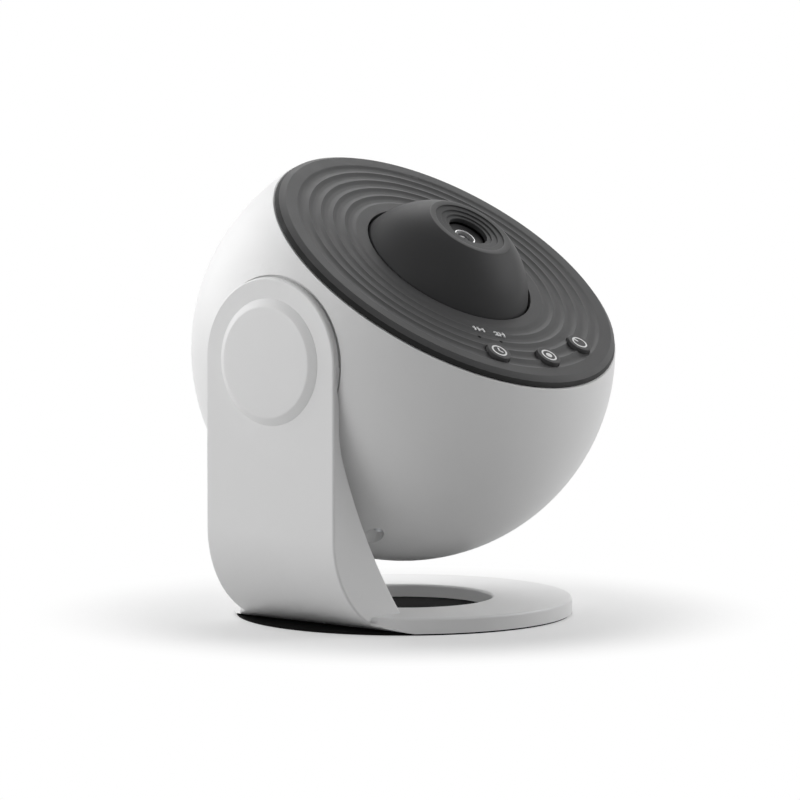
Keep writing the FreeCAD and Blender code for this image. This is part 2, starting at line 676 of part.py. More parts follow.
# --------------------------------------------------------------------- stand: tilt pivot
# Heights along the pivot are measured outward from the face of the arm.
hub_inner = "(hub_end - arm_face)"
shoulder = "(%s - wave_thick)" % hub_inner
node("pivot_pin", at_pivot(cut(turned([
    ("0", "%s - thread_length" % shoulder), ("pin_thread", "%s - thread_length" % shoulder),
    ("pin_thread", shoulder), ("pin_radius", shoulder), ("pin_radius", "-flange_thick"),
    ("flange_radius", "-flange_thick"), ("flange_radius", "0"), ("0", "0")]),
    around(lambda: flange_hole("flange_screw", "-flange_thick", "flange_thick"),
           "flange_count"))))
node("pivot_screws", at_pivot(group(around(
    lambda: screw("flange_screw", "flange_head", "flange_head_rise",
                  "tip_gap - head_thick", "0", x="flange_circle"), "flange_count"))))
node("pivot_cap", at_pivot(turned([
    ("0", "cap_rise - cap_skin"), ("cap_hollow", "cap_rise - cap_skin"), ("cap_hollow", "0"),
    ("cap_base", "0"), ("cap_top", "cap_rise"), ("0", "cap_rise")])))
node("wave_washer", at_pivot(turned([
    ("pin_radius + journal_gap", shoulder), ("wave_radius", shoulder),
    ("wave_radius", hub_inner), ("pin_radius + journal_gap", hub_inner)])))
hexagon = document.addObject("Part::Prism", fresh("hexagon"))
hexagon.Polygon = 6
bind(hexagon, "Circumradius", "nut_across / sqrt(3)")
bind(hexagon, "Height", "nut_height")
place(hexagon, ("0", "0", "%s - nut_height" % shoulder))
node("pivot_nut", at_pivot(cut(hexagon, [
    cylinder("pin_thread", "%s - nut_height" % shoulder, "nut_height")])))

# --------------------------------------------------------------------------- ball shell
pocket_radius = "(arm_half + pocket_gap)"
pocket_floor = "(arm_face - head_thick - washer_thick)"


def case_pieces(maker):
    """One piece at each of the four case screws."""
    pieces = []
    for side_x in ("case_x", "-case_x"):
        for side_y in ("case_y", "-case_y"):
            pieces.append(maker(side_x, side_y))
    return pieces


ledge = cut(cylinder("ball_radius", "ledge_top - ledge_thick", "ledge_thick"),
            [cylinder("ledge_inner", "ledge_top - ledge_thick", "ledge_thick")])
pocket_boss = cylinder_x("%s + pocket_wall" % pocket_radius, "-ball_radius",
                         "ball_radius - %s + pocket_wall" % pocket_floor)
hub = cylinder_x("hub_radius", "-%s" % pocket_floor, "%s - hub_end" % pocket_floor)
towers = case_pieces(lambda x, y: cylinder(
    "tower_radius", "-ball_radius", "ball_radius - pillar_foot", x=x, y=y))
cavity = cut(ball("ball_radius - shell_wall"), [ledge, pocket_boss, hub] + towers)
waste = [
    cavity,
    cylinder("2 * ball_radius", "rim_height", "ball_radius"),
    cylinder_x(pocket_radius, "-2 * ball_radius", "2 * ball_radius - %s" % pocket_floor),
    cylinder_x("pin_radius + journal_gap + bush_wall", "-ball_radius",
               "ball_radius - hub_end"),
]
waste += case_pieces(lambda x, y: cylinder(
    "recess_radius", "-ball_radius", "ball_radius - recess_end", x=x, y=y))
waste += case_pieces(lambda x, y: cylinder(
    "case_screw", "-recess_end", "recess_end - pillar_foot", x=x, y=y))
inlet_hole = place(group([cylinder("inlet_radius", "inlet_flange_top - inlet_flange_thick",
                                   "ball_radius")]),
                   axis=Vector(1, 0, 0), angle="-90 - inlet_angle")
waste.append(inlet_hole)
node("ball_shell", cut(ball("ball_radius"), waste), "ball")
node("case_screws", group(case_pieces(lambda x, y: screw(
    "case_screw", "case_head", "case_head_rise", "case_bite - pillar_foot",
    "-recess_end", x=x, y=y, head_up=False))), "ball")


def at_hub(item):
    """Turn a piece made along Z so that its Z points to -X from the ball centre."""
    return place(item, axis=Vector(0, 1, 0), angle="-90")


node("hub_bush", group([at_hub(turned([
    ("pin_radius + journal_gap", "hub_end"),
    ("pin_radius + journal_gap + bush_wall", "hub_end"),
    ("pin_radius + journal_gap + bush_wall", pocket_floor),
    ("pin_radius + journal_gap", pocket_floor)]))]), "ball")
node("friction_washer", group([at_hub(turned([
    ("pin_radius + slip", pocket_floor), ("washer_outer", pocket_floor),
    ("washer_outer", "%s + washer_thick" % pocket_floor),
    ("pin_radius + slip", "%s + washer_thick" % pocket_floor)]))]), "ball")

# -------------------------------------------------------------------------- front panel
panel_points = [
    ("panel_open", "panel_under"), ("skirt_inner", "panel_under"),
    ("skirt_inner", "ledge_top"), ("skirt_outer", "ledge_top"),
    ("skirt_outer", "panel_foot"), ("panel_edge", "panel_foot"),
    ("face_edge", "panel_face"),
]
for crest in range(int(value("ripple_count"))):
    panel_points.append(("ripple_outer - %d * ripple_pitch" % crest, "panel_face",
                         "ripple_pitch", "left"))
panel_points.append(("ripple_inner", "panel_face"))
panel_points.append(("panel_open", "panel_face"))
BUTTONS = (("button_timer", "0 - button_angle"), ("button_brightness", "0"),
           ("button_power", "button_angle"))


def at_front(item, angle):
    """Turn a piece made at -Y by an angle about the optical axis."""
    return place(group([item]), axis=Vector(0, 0, 1), angle=angle)


panel_holes = []
for label, angle in BUTTONS:
    panel_holes.append(at_front(cylinder(
        "button_radius + slip", "ledge_top", "panel_face", y="-button_circle"), angle))
for angle in ("0 - first_angle", "0 - second_angle"):
    panel_holes.append(at_front(cylinder(
        "light_radius + light_play", "ledge_top", "panel_face", y="-light_circle"), angle))
node("front_panel", cut(turned(panel_points), panel_holes), "ball")

# -------------------------------------------------------- buttons, lights, circuit board
collar_top = "(panel_under - slip)"
for label, angle in BUTTONS:
    button = turned([
        ("0", "%s - collar_thick - stem_drop" % collar_top),
        ("stem_radius", "%s - collar_thick - stem_drop" % collar_top),
        ("stem_radius", "%s - collar_thick" % collar_top),
        ("collar_radius", "%s - collar_thick" % collar_top),
        ("collar_radius", collar_top), ("button_radius", collar_top),
        ("button_radius", "panel_face + button_rise"), ("0", "panel_face + button_rise")])
    place(button, ("0", "-button_circle", "0"))
    node(label, group([at_front(button, angle)]), "ball")

board_top = "(board_under + board_thick)"
node("timer_lights", group([
    at_front(cylinder("light_radius", board_top, "panel_face - light_drop - %s" % board_top,
                      y="-light_circle"), angle)
    for angle in ("0 - first_angle", "0 - second_angle")]), "ball")
switches = []
for label, angle in BUTTONS:
    body = block("switch_side", "switch_side", "switch_rise",
                 "-switch_side / 2", "-button_circle - switch_side / 2", board_top)
    plunger = cylinder("stem_radius", board_top, "switch_rise + plunger_rise",
                       y="-button_circle")
    switches.append(at_front(join([body, plunger]), angle))
node("tact_switches", group(switches), "ball")

POSTS = (("post_near", "near_angle"), ("post_far", "far_angle"), ("post_far", "0 - far_angle"))
board = document.addObject("Part::Cylinder", fresh("board"))
bind(board, "Radius", "board_outer")
bind(board, "Height", "board_thick")
bind(board, "Angle", "board_angle")
place(board, ("0", "0", "board_under"), Vector(0, 0, 1), "-90 - board_angle / 2")
board_holes = [at_front(cylinder("small_screw", "board_under", "board_thick", y="-%s" % out),
                        angle) for out, angle in POSTS]
node("main_board", cut(board, [cylinder("board_inner", "board_under", "board_thick")]
                       + board_holes), "ball")
node("board_screws", group([
    at_front(screw("small_screw", "small_head", "small_rise",
                   "board_under - board_bite", board_top, y="-%s" % out), angle)
    for out, angle in POSTS]), "ball")

# ------------------------------------------------------------------------------ chassis
deck_top = "(deck_under + deck_thick)"
gear_gap = "((gear_teeth + pinion_teeth) * gear_module / 2)"
deck = turned([
    ("tube_bore", "deck_under"), ("deck_radius", "deck_under"), ("deck_radius", deck_top),
    ("spigot_radius", deck_top), ("spigot_radius", "%s + spigot_rise" % deck_top),
    ("tube_bore", "%s + spigot_rise" % deck_top)])
pillars = case_pieces(lambda x, y: cylinder(
    "pillar_radius", "-pillar_foot", "pillar_foot + %s" % deck_top, x=x, y=y))
ears = case_pieces(lambda x, y: block(
    "2 * pillar_radius", "case_y / 2", "deck_thick", "%s - pillar_radius" % x,
    "case_y / 2" if y == "case_y" else "-case_y", "deck_under"))
posts = [at_front(cylinder("post_radius", "deck_under", "board_under - deck_under",
                           y="-%s" % out), angle) for out, angle in POSTS]
post_bores = [at_front(cylinder(
    "small_screw", "board_under - board_bite", "board_bite", y="-%s" % out), angle)
    for out, angle in POSTS]
pillar_bores = case_pieces(lambda x, y: cylinder(
    "case_screw", "-pillar_foot", "case_bite", x=x, y=y))
well_bores = around(lambda: cylinder(
    "small_screw", "deck_under", "deck_thick", x="well_circle"), "well_count", "well_angle")
motor_bores = [cylinder("small_screw", "deck_under", "deck_thick", x=side, y=gear_gap)
               for side in ("motor_ears", "-motor_ears")]
shaft_bore = cylinder("shaft_radius + 2 * slip", "deck_under", "deck_thick", y=gear_gap)
chassis = cut(join([deck] + pillars + ears + posts),
              post_bores + pillar_bores + well_bores + motor_bores + [shaft_bore])
node("chassis", chassis, "ball")

# ------------------------------------------------- light tube, condenser lenses and lamp
tube_outer = "(tube_bore + tube_wall)"
tube = turned([
    ("tube_bore", "-tube_bottom"), ("tube_flange", "-tube_bottom"),
    ("tube_flange", "tube_wall - tube_bottom"), (tube_outer, "tube_wall - tube_bottom"),
    (tube_outer, "deck_under - tube_wall"), ("tube_flange", "deck_under - tube_wall"),
    ("tube_flange", "deck_under"), ("tube_bore", "deck_under")])
node("light_tube", cut(tube, around(lambda: cylinder(
    "small_screw", "-tube_bottom", "tube_wall", x="sink_circle"), "sink_count")), "ball")


def condenser(bottom):
    """Lens with a flat underside and a curved upper face."""
    clear = "(tube_bore - ring_wall)"
    crown = "(lens_edge + lens_curve - sqrt(lens_curve * lens_curve - %s * %s))" % (clear, clear)
    return turned([("0", bottom), ("tube_bore", bottom),
                   ("tube_bore", "%s + lens_edge" % bottom),
                   (clear, "%s + lens_edge" % bottom, "lens_curve", "right"),
                   ("0", "%s + %s" % (bottom, crown))])


node("condenser_lower", condenser("lens_low"), "ball")
node("condenser_upper", condenser("lens_low + lens_apart"), "ball")
node("lens_spacer", ring("tube_bore", "tube_bore - ring_wall", "lens_low + lens_edge",
                         "lens_apart - lens_edge"), "ball")
node("lens_rest", ring("tube_bore", "tube_bore - ring_wall", "-tube_bottom",
                       "tube_bottom + lens_low"), "ball")
lamp_base = "(0 - tube_bottom - lamp_board)"
node("lamp_board", cut(cylinder("tube_flange", lamp_base, "lamp_board"), around(
    lambda: cylinder("small_screw", lamp_base, "lamp_board", x="sink_circle"),
    "sink_count")), "ball")
node("lamp", turned([
    ("0", "-tube_bottom"), ("lamp_radius", "-tube_bottom"),
    ("lamp_radius", "lamp_rise - lamp_radius - tube_bottom", "lamp_radius", "right"),
    ("0", "lamp_rise - tube_bottom")]), "ball")
sink_top = lamp_base
sink = [cylinder("tube_flange", "%s - sink_base" % sink_top, "sink_base")]
fin_limit = cylinder("tube_flange - 3 * small_head", "%s - sink_base - fin_length" % sink_top,
                     "fin_length")
fin_side = int(value("fin_side"))
fins = [block("fin_thick", "2 * tube_flange", "fin_length",
              "%d * fin_pitch - fin_thick / 2" % index, "-tube_flange",
              "%s - sink_base - fin_length" % sink_top) for index in range(-fin_side, fin_side + 1)]
sink.append(common(join(fins), fin_limit))
node("heat_sink", cut(join(sink), around(lambda: cylinder(
    "small_screw", "%s - sink_base" % sink_top, "sink_base", x="sink_circle"),
    "sink_count")), "ball")
node("sink_screws", group(around(lambda: screw(
    "small_screw", "small_head", "small_rise", "tube_wall - tube_bottom",
    "%s - sink_base" % sink_top, x="sink_circle", head_up=False), "sink_count")), "ball")

# ------------------------------------------------------------- film carrier and its drive


def gear_face(teeth, module, play):
    """Flat tooth outline with straight-sided teeth on a pitch circle."""
    pitch = teeth * module / 2.0
    tip = pitch + module
    root = pitch - 1.25 * module
    slope = math.tan(math.radians(20.0))
    spots = []
    for index in range(int(teeth)):
        middle = 2.0 * math.pi * index / teeth
        for level, sign in ((root, -1), (tip, -1), (tip, 1), (root, 1)):
            half = (module * math.pi / 2.0 - play) / 2.0 - (level - pitch) * slope
            angle = middle + sign * half / pitch
            spots.append(Vector(level * math.cos(angle), level * math.sin(angle), 0))
    spots.append(spots[0])
    return Part.Face(Part.makePolygon(spots))


def gear(teeth_name, bore, phase):
    """Spur gear of the film drive."""
    blank = gear_face(value(teeth_name), value("gear_module"), value("tooth_play"))
    solid = blank.extrude(Vector(0, 0, value("gear_thick")))
    bored = solid.cut(Part.makeCylinder(value(bore), value("gear_thick")))
    bored.rotate(Vector(0, 0, 0), Vector(0, 0, 1), phase)
    item = document.addObject("Part::Feature", fresh("gear"))
    item.Shape = bored
    place(item, ("0", "0", "gear_base"))
    return item


carrier_gear = gear("gear_teeth", "spigot_radius + journal_gap", 0.0)
gear_top = "(gear_base + gear_thick)"
disc_seat = cylinder("disc_radius + disc_play", "%s - disc_thick" % gear_top, "gear_thick")
node("film_carrier", cut(carrier_gear, [disc_seat]), "ball")
node("film_disc", cylinder("disc_radius", "%s - disc_thick" % gear_top, "disc_thick"), "ball")
# the gears mesh at +Y of the film carrier, where it has a tooth and the pinion has a gap
pinion_phase = -90.0 + 180.0 / value("pinion_teeth")
pinion = place(group([gear("pinion_teeth", "shaft_radius", pinion_phase)]),
               ("0", gear_gap, "0"))
node("drive_pinion", group([pinion]), "ball")
node("motor_shaft", cylinder("shaft_radius", "deck_under", "%s - deck_under" % gear_top,
                             y=gear_gap), "ball")
motor = turned([
    ("0", "deck_under - motor_length"), ("motor_radius", "deck_under - motor_length"),
    ("motor_radius", "deck_under - motor_flange_thick"),
    ("motor_flange", "deck_under - motor_flange_thick"), ("motor_flange", "deck_under"),
    ("0", "deck_under")])
place(motor, ("0", gear_gap, "0"))
node("gear_motor", cut(motor, [cylinder(
    "small_screw", "deck_under - motor_bite", "motor_bite", x=side, y=gear_gap)
    for side in ("motor_ears", "-motor_ears")]), "ball")
node("motor_screws", group([screw(
    "small_screw", "small_head", "small_rise", "deck_under - motor_bite", deck_top,
    x=side, y=gear_gap)
    for side in ("motor_ears", "-motor_ears")]), "ball")

# ------------------------------------------------------------- well that takes the head
well_outer = "(well_bore + well_wall)"
well = turned([
    ("well_bore", "well_bottom"), ("well_flange", "well_bottom"),
    ("well_flange", "well_bottom + seat_thick"), (well_outer, "well_bottom + seat_thick"),
    (well_outer, "panel_under"), ("well_bore", "panel_under"), ("well_bore", "seat_top"),
    ("seat_inner", "seat_top"), ("seat_inner", "seat_top - seat_thick"),
    ("well_bore", "seat_top - seat_thick")])
well_posts = around(lambda: cylinder("well_post", deck_top,
                                     "well_bottom + seat_thick - %s" % deck_top,
                                     x="well_circle"), "well_count", "well_angle")
well_threads = around(lambda: cylinder("small_screw", deck_top, "well_bite", x="well_circle"),
                      "well_count", "well_angle")
node("head_well", cut(join([well] + well_posts), well_threads), "ball")
node("well_screws", group(around(lambda: screw(
    "small_screw", "small_head", "small_rise", "%s + well_bite" % deck_top, "deck_under",
    x="well_circle", head_up=False), "well_count", "well_angle")), "ball")

# ----------------------------------------------------------------- lens head: fixed parts
base_top = "(seat_top + base_thick)"
bearing_top = "(%s + bearing_rise)" % base_top
guide_bore = "(barrel_radius + journal_gap)"
guide_outer = "(%s + guide_wall)" % guide_bore
base = turned([
    (guide_bore, "seat_top"), ("base_radius", "seat_top"), ("base_radius", base_top),
    ("bearing_outer", base_top), ("bearing_outer", bearing_top),
    ("bearing_inner", bearing_top), ("bearing_inner", base_top), (guide_outer, base_top),
    (guide_outer, "guide_top"), (guide_bore, "guide_top")])
slot_width = "(2 * (follower_radius + groove_play))"
slot_low = "(pin_height - cam_low - follower_radius - 2 * slip)"
guide_slots = around(lambda: block(
    "guide_wall + 2 * cut_over", slot_width, "guide_top - %s" % slot_low,
    "%s - cut_over" % guide_bore, "-%s / 2" % slot_width, slot_low), "follower_count")
keeper_bores = around(lambda: cylinder(
    "keeper_screw", "%s - keeper_bite" % bearing_top, "keeper_bite", x="keeper_circle"),
    "keeper_count", "keeper_angle")
node("head_base", cut(base, guide_slots + keeper_bores), "ball")
keeper = ring("keeper_outer", "bearing_inner", bearing_top, "keeper_thick")
keeper_top = "(%s + keeper_thick)" % bearing_top
node("keeper_ring", cut(keeper, around(lambda: cylinder(
    "keeper_screw", bearing_top, "keeper_thick", x="keeper_circle"),
    "keeper_count", "keeper_angle")), "ball")
node("keeper_screws", group(around(lambda: screw(
    "keeper_screw", "2 * keeper_screw", "keeper_screw", "%s - keeper_bite" % bearing_top,
    keeper_top, x="keeper_circle"), "keeper_count", "keeper_angle")), "ball")

# ------------------------------------------------------------- lens head: focusing dome
dome_bottom = "(%s + slip)" % base_top
dome_top = "(dome_centre + sqrt(dome_radius * dome_radius - dome_flat * dome_flat))"
dome_inner = "(dome_radius - dome_wall)"
crown_under = "(%s - dome_crown)" % dome_top
lip_top = "(%s + lip_height)" % dome_bottom
curve_foot = "(%s + curve_rise)" % lip_top
foot_radius_in = "sqrt(%s * %s - (%s - dome_centre) * (%s - dome_centre))" % (
    dome_inner, dome_inner, curve_foot, curve_foot)
crown_radius = "sqrt(%s * %s - (%s - dome_centre) * (%s - dome_centre))" % (
    dome_inner, dome_inner, crown_under, crown_under)
skirt_end = "(dome_centre + sqrt(dome_radius * dome_radius - dome_skirt * dome_skirt))"
node("focus_dome", turned([
    ("bearing_outer + journal_gap", dome_bottom), ("dome_skirt", dome_bottom),
    ("dome_skirt", skirt_end, "dome_radius", "right"),
    ("dome_flat", dome_top), ("step_first", dome_top),
    ("step_first", "%s - step_fall" % dome_top), ("step_second", "%s - step_fall" % dome_top),
    ("step_second", "%s - 2 * step_fall" % dome_top),
    ("step_third", "%s - 2 * step_fall" % dome_top),
    ("step_third", "%s - 3 * step_fall" % dome_top),
    ("dome_hole", "%s - 3 * step_fall" % dome_top), ("dome_hole", crown_under),
    (crown_radius, crown_under, dome_inner, "left"),
    (foot_radius_in, curve_foot), (foot_radius_in, lip_top),
    ("bearing_outer + journal_gap", lip_top)]), "ball")

# the cam sleeve hangs in the dome; its slots climb clockwise seen from the front, so that
# turning the dome anticlockwise drives the lens outward
sleeve_inner = "(%s + sleeve_gap)" % guide_outer
sleeve_outer = "(%s + sleeve_wall)" % sleeve_inner
sleeve = ring(sleeve_outer, sleeve_inner, "sleeve_bottom", "%s - sleeve_bottom" % crown_under)


def cam_slot(turn):
    """Helical slot tool, swept from a circle that stands across the wall of the sleeve."""
    radius = (value(sleeve_inner) + value(sleeve_outer)) / 2.0
    rise = value("cam_rise")
    path = Part.makeHelix(2.0 * rise, rise, radius, 0.0, True)
    width = value("follower_radius + cam_play")
    reach = value("sleeve_wall")
    spots = [Vector(radius - reach, 0, -width), Vector(radius + reach, 0, -width),
             Vector(radius + reach, 0, width), Vector(radius - reach, 0, width)]
    profile = Part.makePolygon(spots + [spots[0]])
    tool = Part.Wire(path.Edges).makePipeShell([profile], True, True)
    ends = []
    for angle, height in ((0.0, 0.0), (-180.0, rise)):
        peg = Part.makeCylinder(width, 2.0 * reach, Vector(radius - reach, 0, 0),
                                Vector(1, 0, 0))
        peg.rotate(Vector(0, 0, 0), Vector(0, 0, 1), angle)
        peg.translate(Vector(0, 0, height))
        ends.append(peg)
    tool = tool.fuse(ends)
    tool.rotate(Vector(0, 0, 0), Vector(0, 0, 1), value("cam_start") + turn)
    tool.translate(Vector(0, 0, value("pin_height - cam_low")))
    item = document.addObject("Part::Feature", fresh("slot"))
    item.Shape = tool
    return item


followers = int(value("follower_count"))
cam_slots = []
for index in range(followers):
    cam_slots.append(cam_slot(index * 360.0 / followers))
node("cam_sleeve", cut(sleeve, cam_slots), "ball")

# -------------------------------------------------------------- lens head: lens barrel
rear_bottom = "(barrel_bottom + rear_ring)"
rear_crown = "(rear_edge + rear_curve - sqrt(rear_curve * rear_curve - rear_radius * rear_radius))"
rear_end = "(%s + rear_edge)" % rear_bottom
bezel_outer = "(front_radius + bezel_wall)"
barrel = turned([
    ("rear_radius", "barrel_bottom"), ("barrel_radius", "barrel_bottom"),
    ("barrel_radius", "barrel_shoulder"), ("nose_radius", "barrel_shoulder"),
    ("nose_radius", "nose_top"), ("nose_lip", "nose_top"),
    (bezel_outer, "front_seat + bezel_rise"), (bezel_outer, "front_seat"),
    ("front_radius - bezel_wall", "front_seat"),
    ("barrel_waist", "front_seat - throat_drop"),
    ("barrel_waist", "%s + 2 * rear_ring" % rear_end),
    ("rear_radius", "%s + rear_ring" % rear_end)])
pin_bores = around(lambda: cylinder_x("follower_radius", "rear_radius - cut_over",
                                      "barrel_radius", "pin_height"), "follower_count")
node("lens_barrel", cut(barrel, pin_bores), "ball")
node("follower_pins", group(around(lambda: cylinder_x(
    "follower_radius", "rear_radius", "follower_reach - rear_radius", "pin_height"),
    "follower_count")), "ball")
node("front_lens", turned([
    ("0", "front_seat"), ("front_radius", "front_seat"),
    ("front_radius", "front_seat + front_edge", "front_curve", "right"),
    ("0", "front_seat + front_edge + front_curve"
     " - sqrt(front_curve * front_curve - front_radius * front_radius)")]), "ball")
node("lens_bezel", ring(bezel_outer, "front_radius", "front_seat", "bezel_rise"), "ball")
node("rear_lens", turned([
    ("0", rear_bottom), ("rear_radius", rear_bottom),
    ("rear_radius", rear_end, "rear_curve", "right"),
    ("0", "%s + %s" % (rear_bottom, rear_crown))]), "ball")
node("rear_lens_ring", ring("rear_radius", "rear_open", "barrel_bottom", "rear_ring"), "ball")

# --------------------------------------------------------------------------- power inlet
inlet = turned([
    ("0", "inlet_face - inlet_depth - inlet_back"),
    ("inlet_body", "inlet_face - inlet_depth - inlet_back"),
    ("inlet_body", "inlet_flange_top - inlet_flange_thick"),
    ("inlet_flange", "inlet_flange_top - inlet_flange_thick"),
    ("inlet_flange", "inlet_flange_top"), ("inlet_radius", "inlet_flange_top"),
    ("inlet_radius", "inlet_face"), ("inlet_bore", "inlet_face"),
    ("inlet_bore", "inlet_face - inlet_depth"), ("inlet_pin", "inlet_face - inlet_depth"),
    ("inlet_pin", "inlet_face - inlet_pin_sink"), ("0", "inlet_face - inlet_pin_sink")])
place(inlet, axis=Vector(1, 0, 0), angle="-90 - inlet_angle")
node("power_inlet", group([inlet]), "ball")

# ----------------------------------------------------------------- checks and the files
document.recompute()
for thing in document.Objects:
    if "Invalid" in thing.State or "Error" in thing.State:
        raise RuntimeError("%s (%s) failed: %s" % (thing.Name, thing.Label, thing.State))
os.makedirs("parts", exist_ok=True)
for label, thing in NODES.items():
    shape = thing.Shape
    if shape.isNull() or not shape.isValid() or not shape.Solids:
        raise RuntimeError("%s has no valid solid" % label)
    shape.exportStep("parts/%s.step" % label)
    box = shape.BoundBox
    print("%-18s solids %d volume %9.1f  x %7.2f %7.2f  y %7.2f %7.2f  z %7.2f %7.2f" % (
        label, len(shape.Solids), shape.Volume, box.XMin, box.XMax, box.YMin, box.YMax,
        box.ZMin, box.ZMax))
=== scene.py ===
import json
import math

import bmesh
import bpy
from mathutils import Matrix, Vector


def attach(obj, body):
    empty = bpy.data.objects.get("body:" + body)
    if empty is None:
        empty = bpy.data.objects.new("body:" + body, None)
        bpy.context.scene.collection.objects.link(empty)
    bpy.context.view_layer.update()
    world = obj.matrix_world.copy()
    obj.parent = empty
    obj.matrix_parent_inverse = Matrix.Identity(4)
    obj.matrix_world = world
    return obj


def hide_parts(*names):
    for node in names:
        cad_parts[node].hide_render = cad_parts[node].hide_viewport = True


# Home planetarium projector: white ball with a dark ringed panel and a domed lens head,
# on one bent arm above a round foot. Sizes are millimetres, except those of floor, light
# and camera. The turned pieces that replace a CAD node repeat that node's sizes.

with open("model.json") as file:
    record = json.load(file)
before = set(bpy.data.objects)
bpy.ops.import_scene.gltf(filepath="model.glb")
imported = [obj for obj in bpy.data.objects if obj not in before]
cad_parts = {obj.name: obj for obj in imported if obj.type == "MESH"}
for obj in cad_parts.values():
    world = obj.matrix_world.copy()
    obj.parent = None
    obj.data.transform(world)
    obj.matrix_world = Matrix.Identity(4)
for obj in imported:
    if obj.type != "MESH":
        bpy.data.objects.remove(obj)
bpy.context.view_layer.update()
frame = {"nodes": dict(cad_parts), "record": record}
nodes = frame["nodes"]

MM = 0.001

# The ball's own frame has its origin at the ball's centre and its Z out of the panel. The
# pivot's own frame has its origin on the arm's outer face and its Z out of the arm.
AXIS_HEIGHT = 94.0
ARM_FACE = 71.9
REST_TILT = math.radians(34.5)
BALL = Matrix.Translation((0, 0, AXIS_HEIGHT * MM)) @ Matrix.Rotation(REST_TILT, 4, "X")
BALL_AXIS = BALL.to_3x3() @ Vector((0, 0, 1))
PIVOT = (Matrix.Translation((-ARM_FACE * MM, 0, AXIS_HEIGHT * MM))
         @ Matrix.Rotation(math.radians(-90.0), 4, "Y"))

# stand
ARM_HALF = 29.15
ARM_EASE_START = 2.4
FOOT_RADIUS = 60.0
FOOT_HOLE = 31.6
FOOT_TOP = 6.1

# ball and panel: radii and heights in the ball's frame
RIM_HEIGHT = 34.0
EDGE_START = 66.0
PANEL_FOOT = 34.2
PANEL_FACE = 37.3
BEVEL_START = 63.2
BEVEL_CUT = 35.75
STEP_RADIUS = 65.45
STEP_HEIGHT = 36.0
RIPPLE_INNER = 36.0
RIPPLE_PITCH = 4.62
CROWN_START = 53.6

# buttons, their marks and the timer figures
BUTTON_CIRCLE = 53.3
BUTTON_SPREAD = 24.8
MARK_HEIGHT = 38.27
MARK_RING = (2.95, 2.3)
BAR_ROUNDING = 0.45
INK = 0.06
LABEL_WIDTH = 4.2
LABEL_HEIGHT = 2.4
LABEL_BOLD = 0.03
LABEL_ROWS = 24
LABEL_SINK = 0.03
LABEL_RISE = 0.10
LABEL_DIP = 0.45

# mesh work: distances that count as none, angles in radians, and steps in a full turn
MERGE = 0.0005
WELD = 0.002
ON_PLANE = 0.0001
NEAR = 0.03
FLAT_ANGLE = math.radians(0.4)
SHARP_ANGLE = 0.5
SLOPE_COSINE = 0.9
BIG_TURN = 160
BUTTON_TURN = 72
RING_TURN = 64

# surfaces: pairs of tones that noise mixes, and the sizes of two slow noises
WHITE_TONES = ((0.80, 0.80, 0.80), (0.765, 0.765, 0.765))
PANEL_TONES = ((0.088, 0.088, 0.089), (0.076, 0.076, 0.077))
# painted shade: near-black tones for the steep lower band of the panel's bevel, where shade falls
SHADE_BAND_TONES = ((0.016, 0.016, 0.016), (0.013, 0.013, 0.013))
# painted shade: darker tones for the dome's side, which is the panel's plastic
DOME_SIDE_SHADE_TONES = ((0.050, 0.050, 0.051), (0.043, 0.043, 0.044))
INNER_TONES = ((0.020, 0.020, 0.021), (0.028, 0.028, 0.029))
GEAR_TONES = ((0.72, 0.71, 0.66), (0.66, 0.65, 0.60))
RUBBER_TONES = ((0.005, 0.005, 0.005), (0.008, 0.008, 0.008))
SLOW_GRAIN = 22.0
WEAR_GRAIN = 6.0

# floor, light and camera: metres, but the lens and its sensor in millimetres
WHITE = (1.0, 1.0, 1.0)
FLOOR_HALF = 6.0
FLOOR_DROP = 0.00005
FLOOR_TONE = (0.55, 0.55, 0.55)
FLOOR_BOUNCE = (0.60, 0.60, 0.60)
FLOOR_LIFT = 0.30
FLOOR_FADE = (0.075, 0.135)
AMBIENT = 0.03
LIGHT_SIZE = 0.9
AZIMUTH = math.radians(-50.1)
ELEVATION = math.radians(5.36)
RIGHT = Vector((math.cos(AZIMUTH), math.sin(AZIMUTH), 0))
BACK = Vector((math.sin(AZIMUTH) * math.cos(ELEVATION),
               -math.cos(AZIMUTH) * math.cos(ELEVATION), math.sin(ELEVATION)))
UP = BACK.cross(RIGHT)
CENTRE = Vector((0, 0, AXIS_HEIGHT * MM))
CAMERA_DISTANCE = 1.7689
CAMERA_LEFT = 0.00117
CAMERA_DOWN = 0.0181
CAMERA_CLIP = (0.1, 20.0)
LENS_LENGTH = 225.0
SENSOR_WIDTH = 36.0

# soft boxes: direction from the ball (across, up, back), distance, level
LIGHTS = {
    "left_box": ((-0.80, 0.50, -0.10), 1.2, 0.30),
    "rear_left_box": ((-0.75, 0.45, -0.60), 1.2, 0.27),
    "top_box": ((0.05, 0.85, -0.55), 1.2, 0.40),
    "right_box": ((0.90, 0.40, -0.10), 1.2, 0.53),
    "front_left_box": ((-0.80, 0.25, 0.60), 1.4, 0.34),
    "front_box": ((0.0, 0.35, 1.0), 1.6, 0.05),
}


# ----------------------------------------------------------------------- shader nodes
class Signal:
    """A shader socket that takes part in ordinary arithmetic."""

    def __init__(self, finish, socket):
        self.finish = finish
        self.socket = socket

    def combine(self, operation, first, second, clamp=False):
        return self.finish.node("ShaderNodeMath", {"operation": operation, "use_clamp": clamp},
                                {0: first, 1: second})[0]

    def __add__(self, other):
        return self.combine("ADD", self, other)

    __radd__ = __add__

    def __sub__(self, other):
        return self.combine("SUBTRACT", self, other)

    def __mul__(self, other):
        return self.combine("MULTIPLY", self, other)

    def __gt__(self, other):
        return self.combine("GREATER_THAN", self, other)

    def __lt__(self, other):
        return self.combine("LESS_THAN", self, other)

    def clamped(self):
        return self.combine("ADD", self, 0.0, clamp=True)


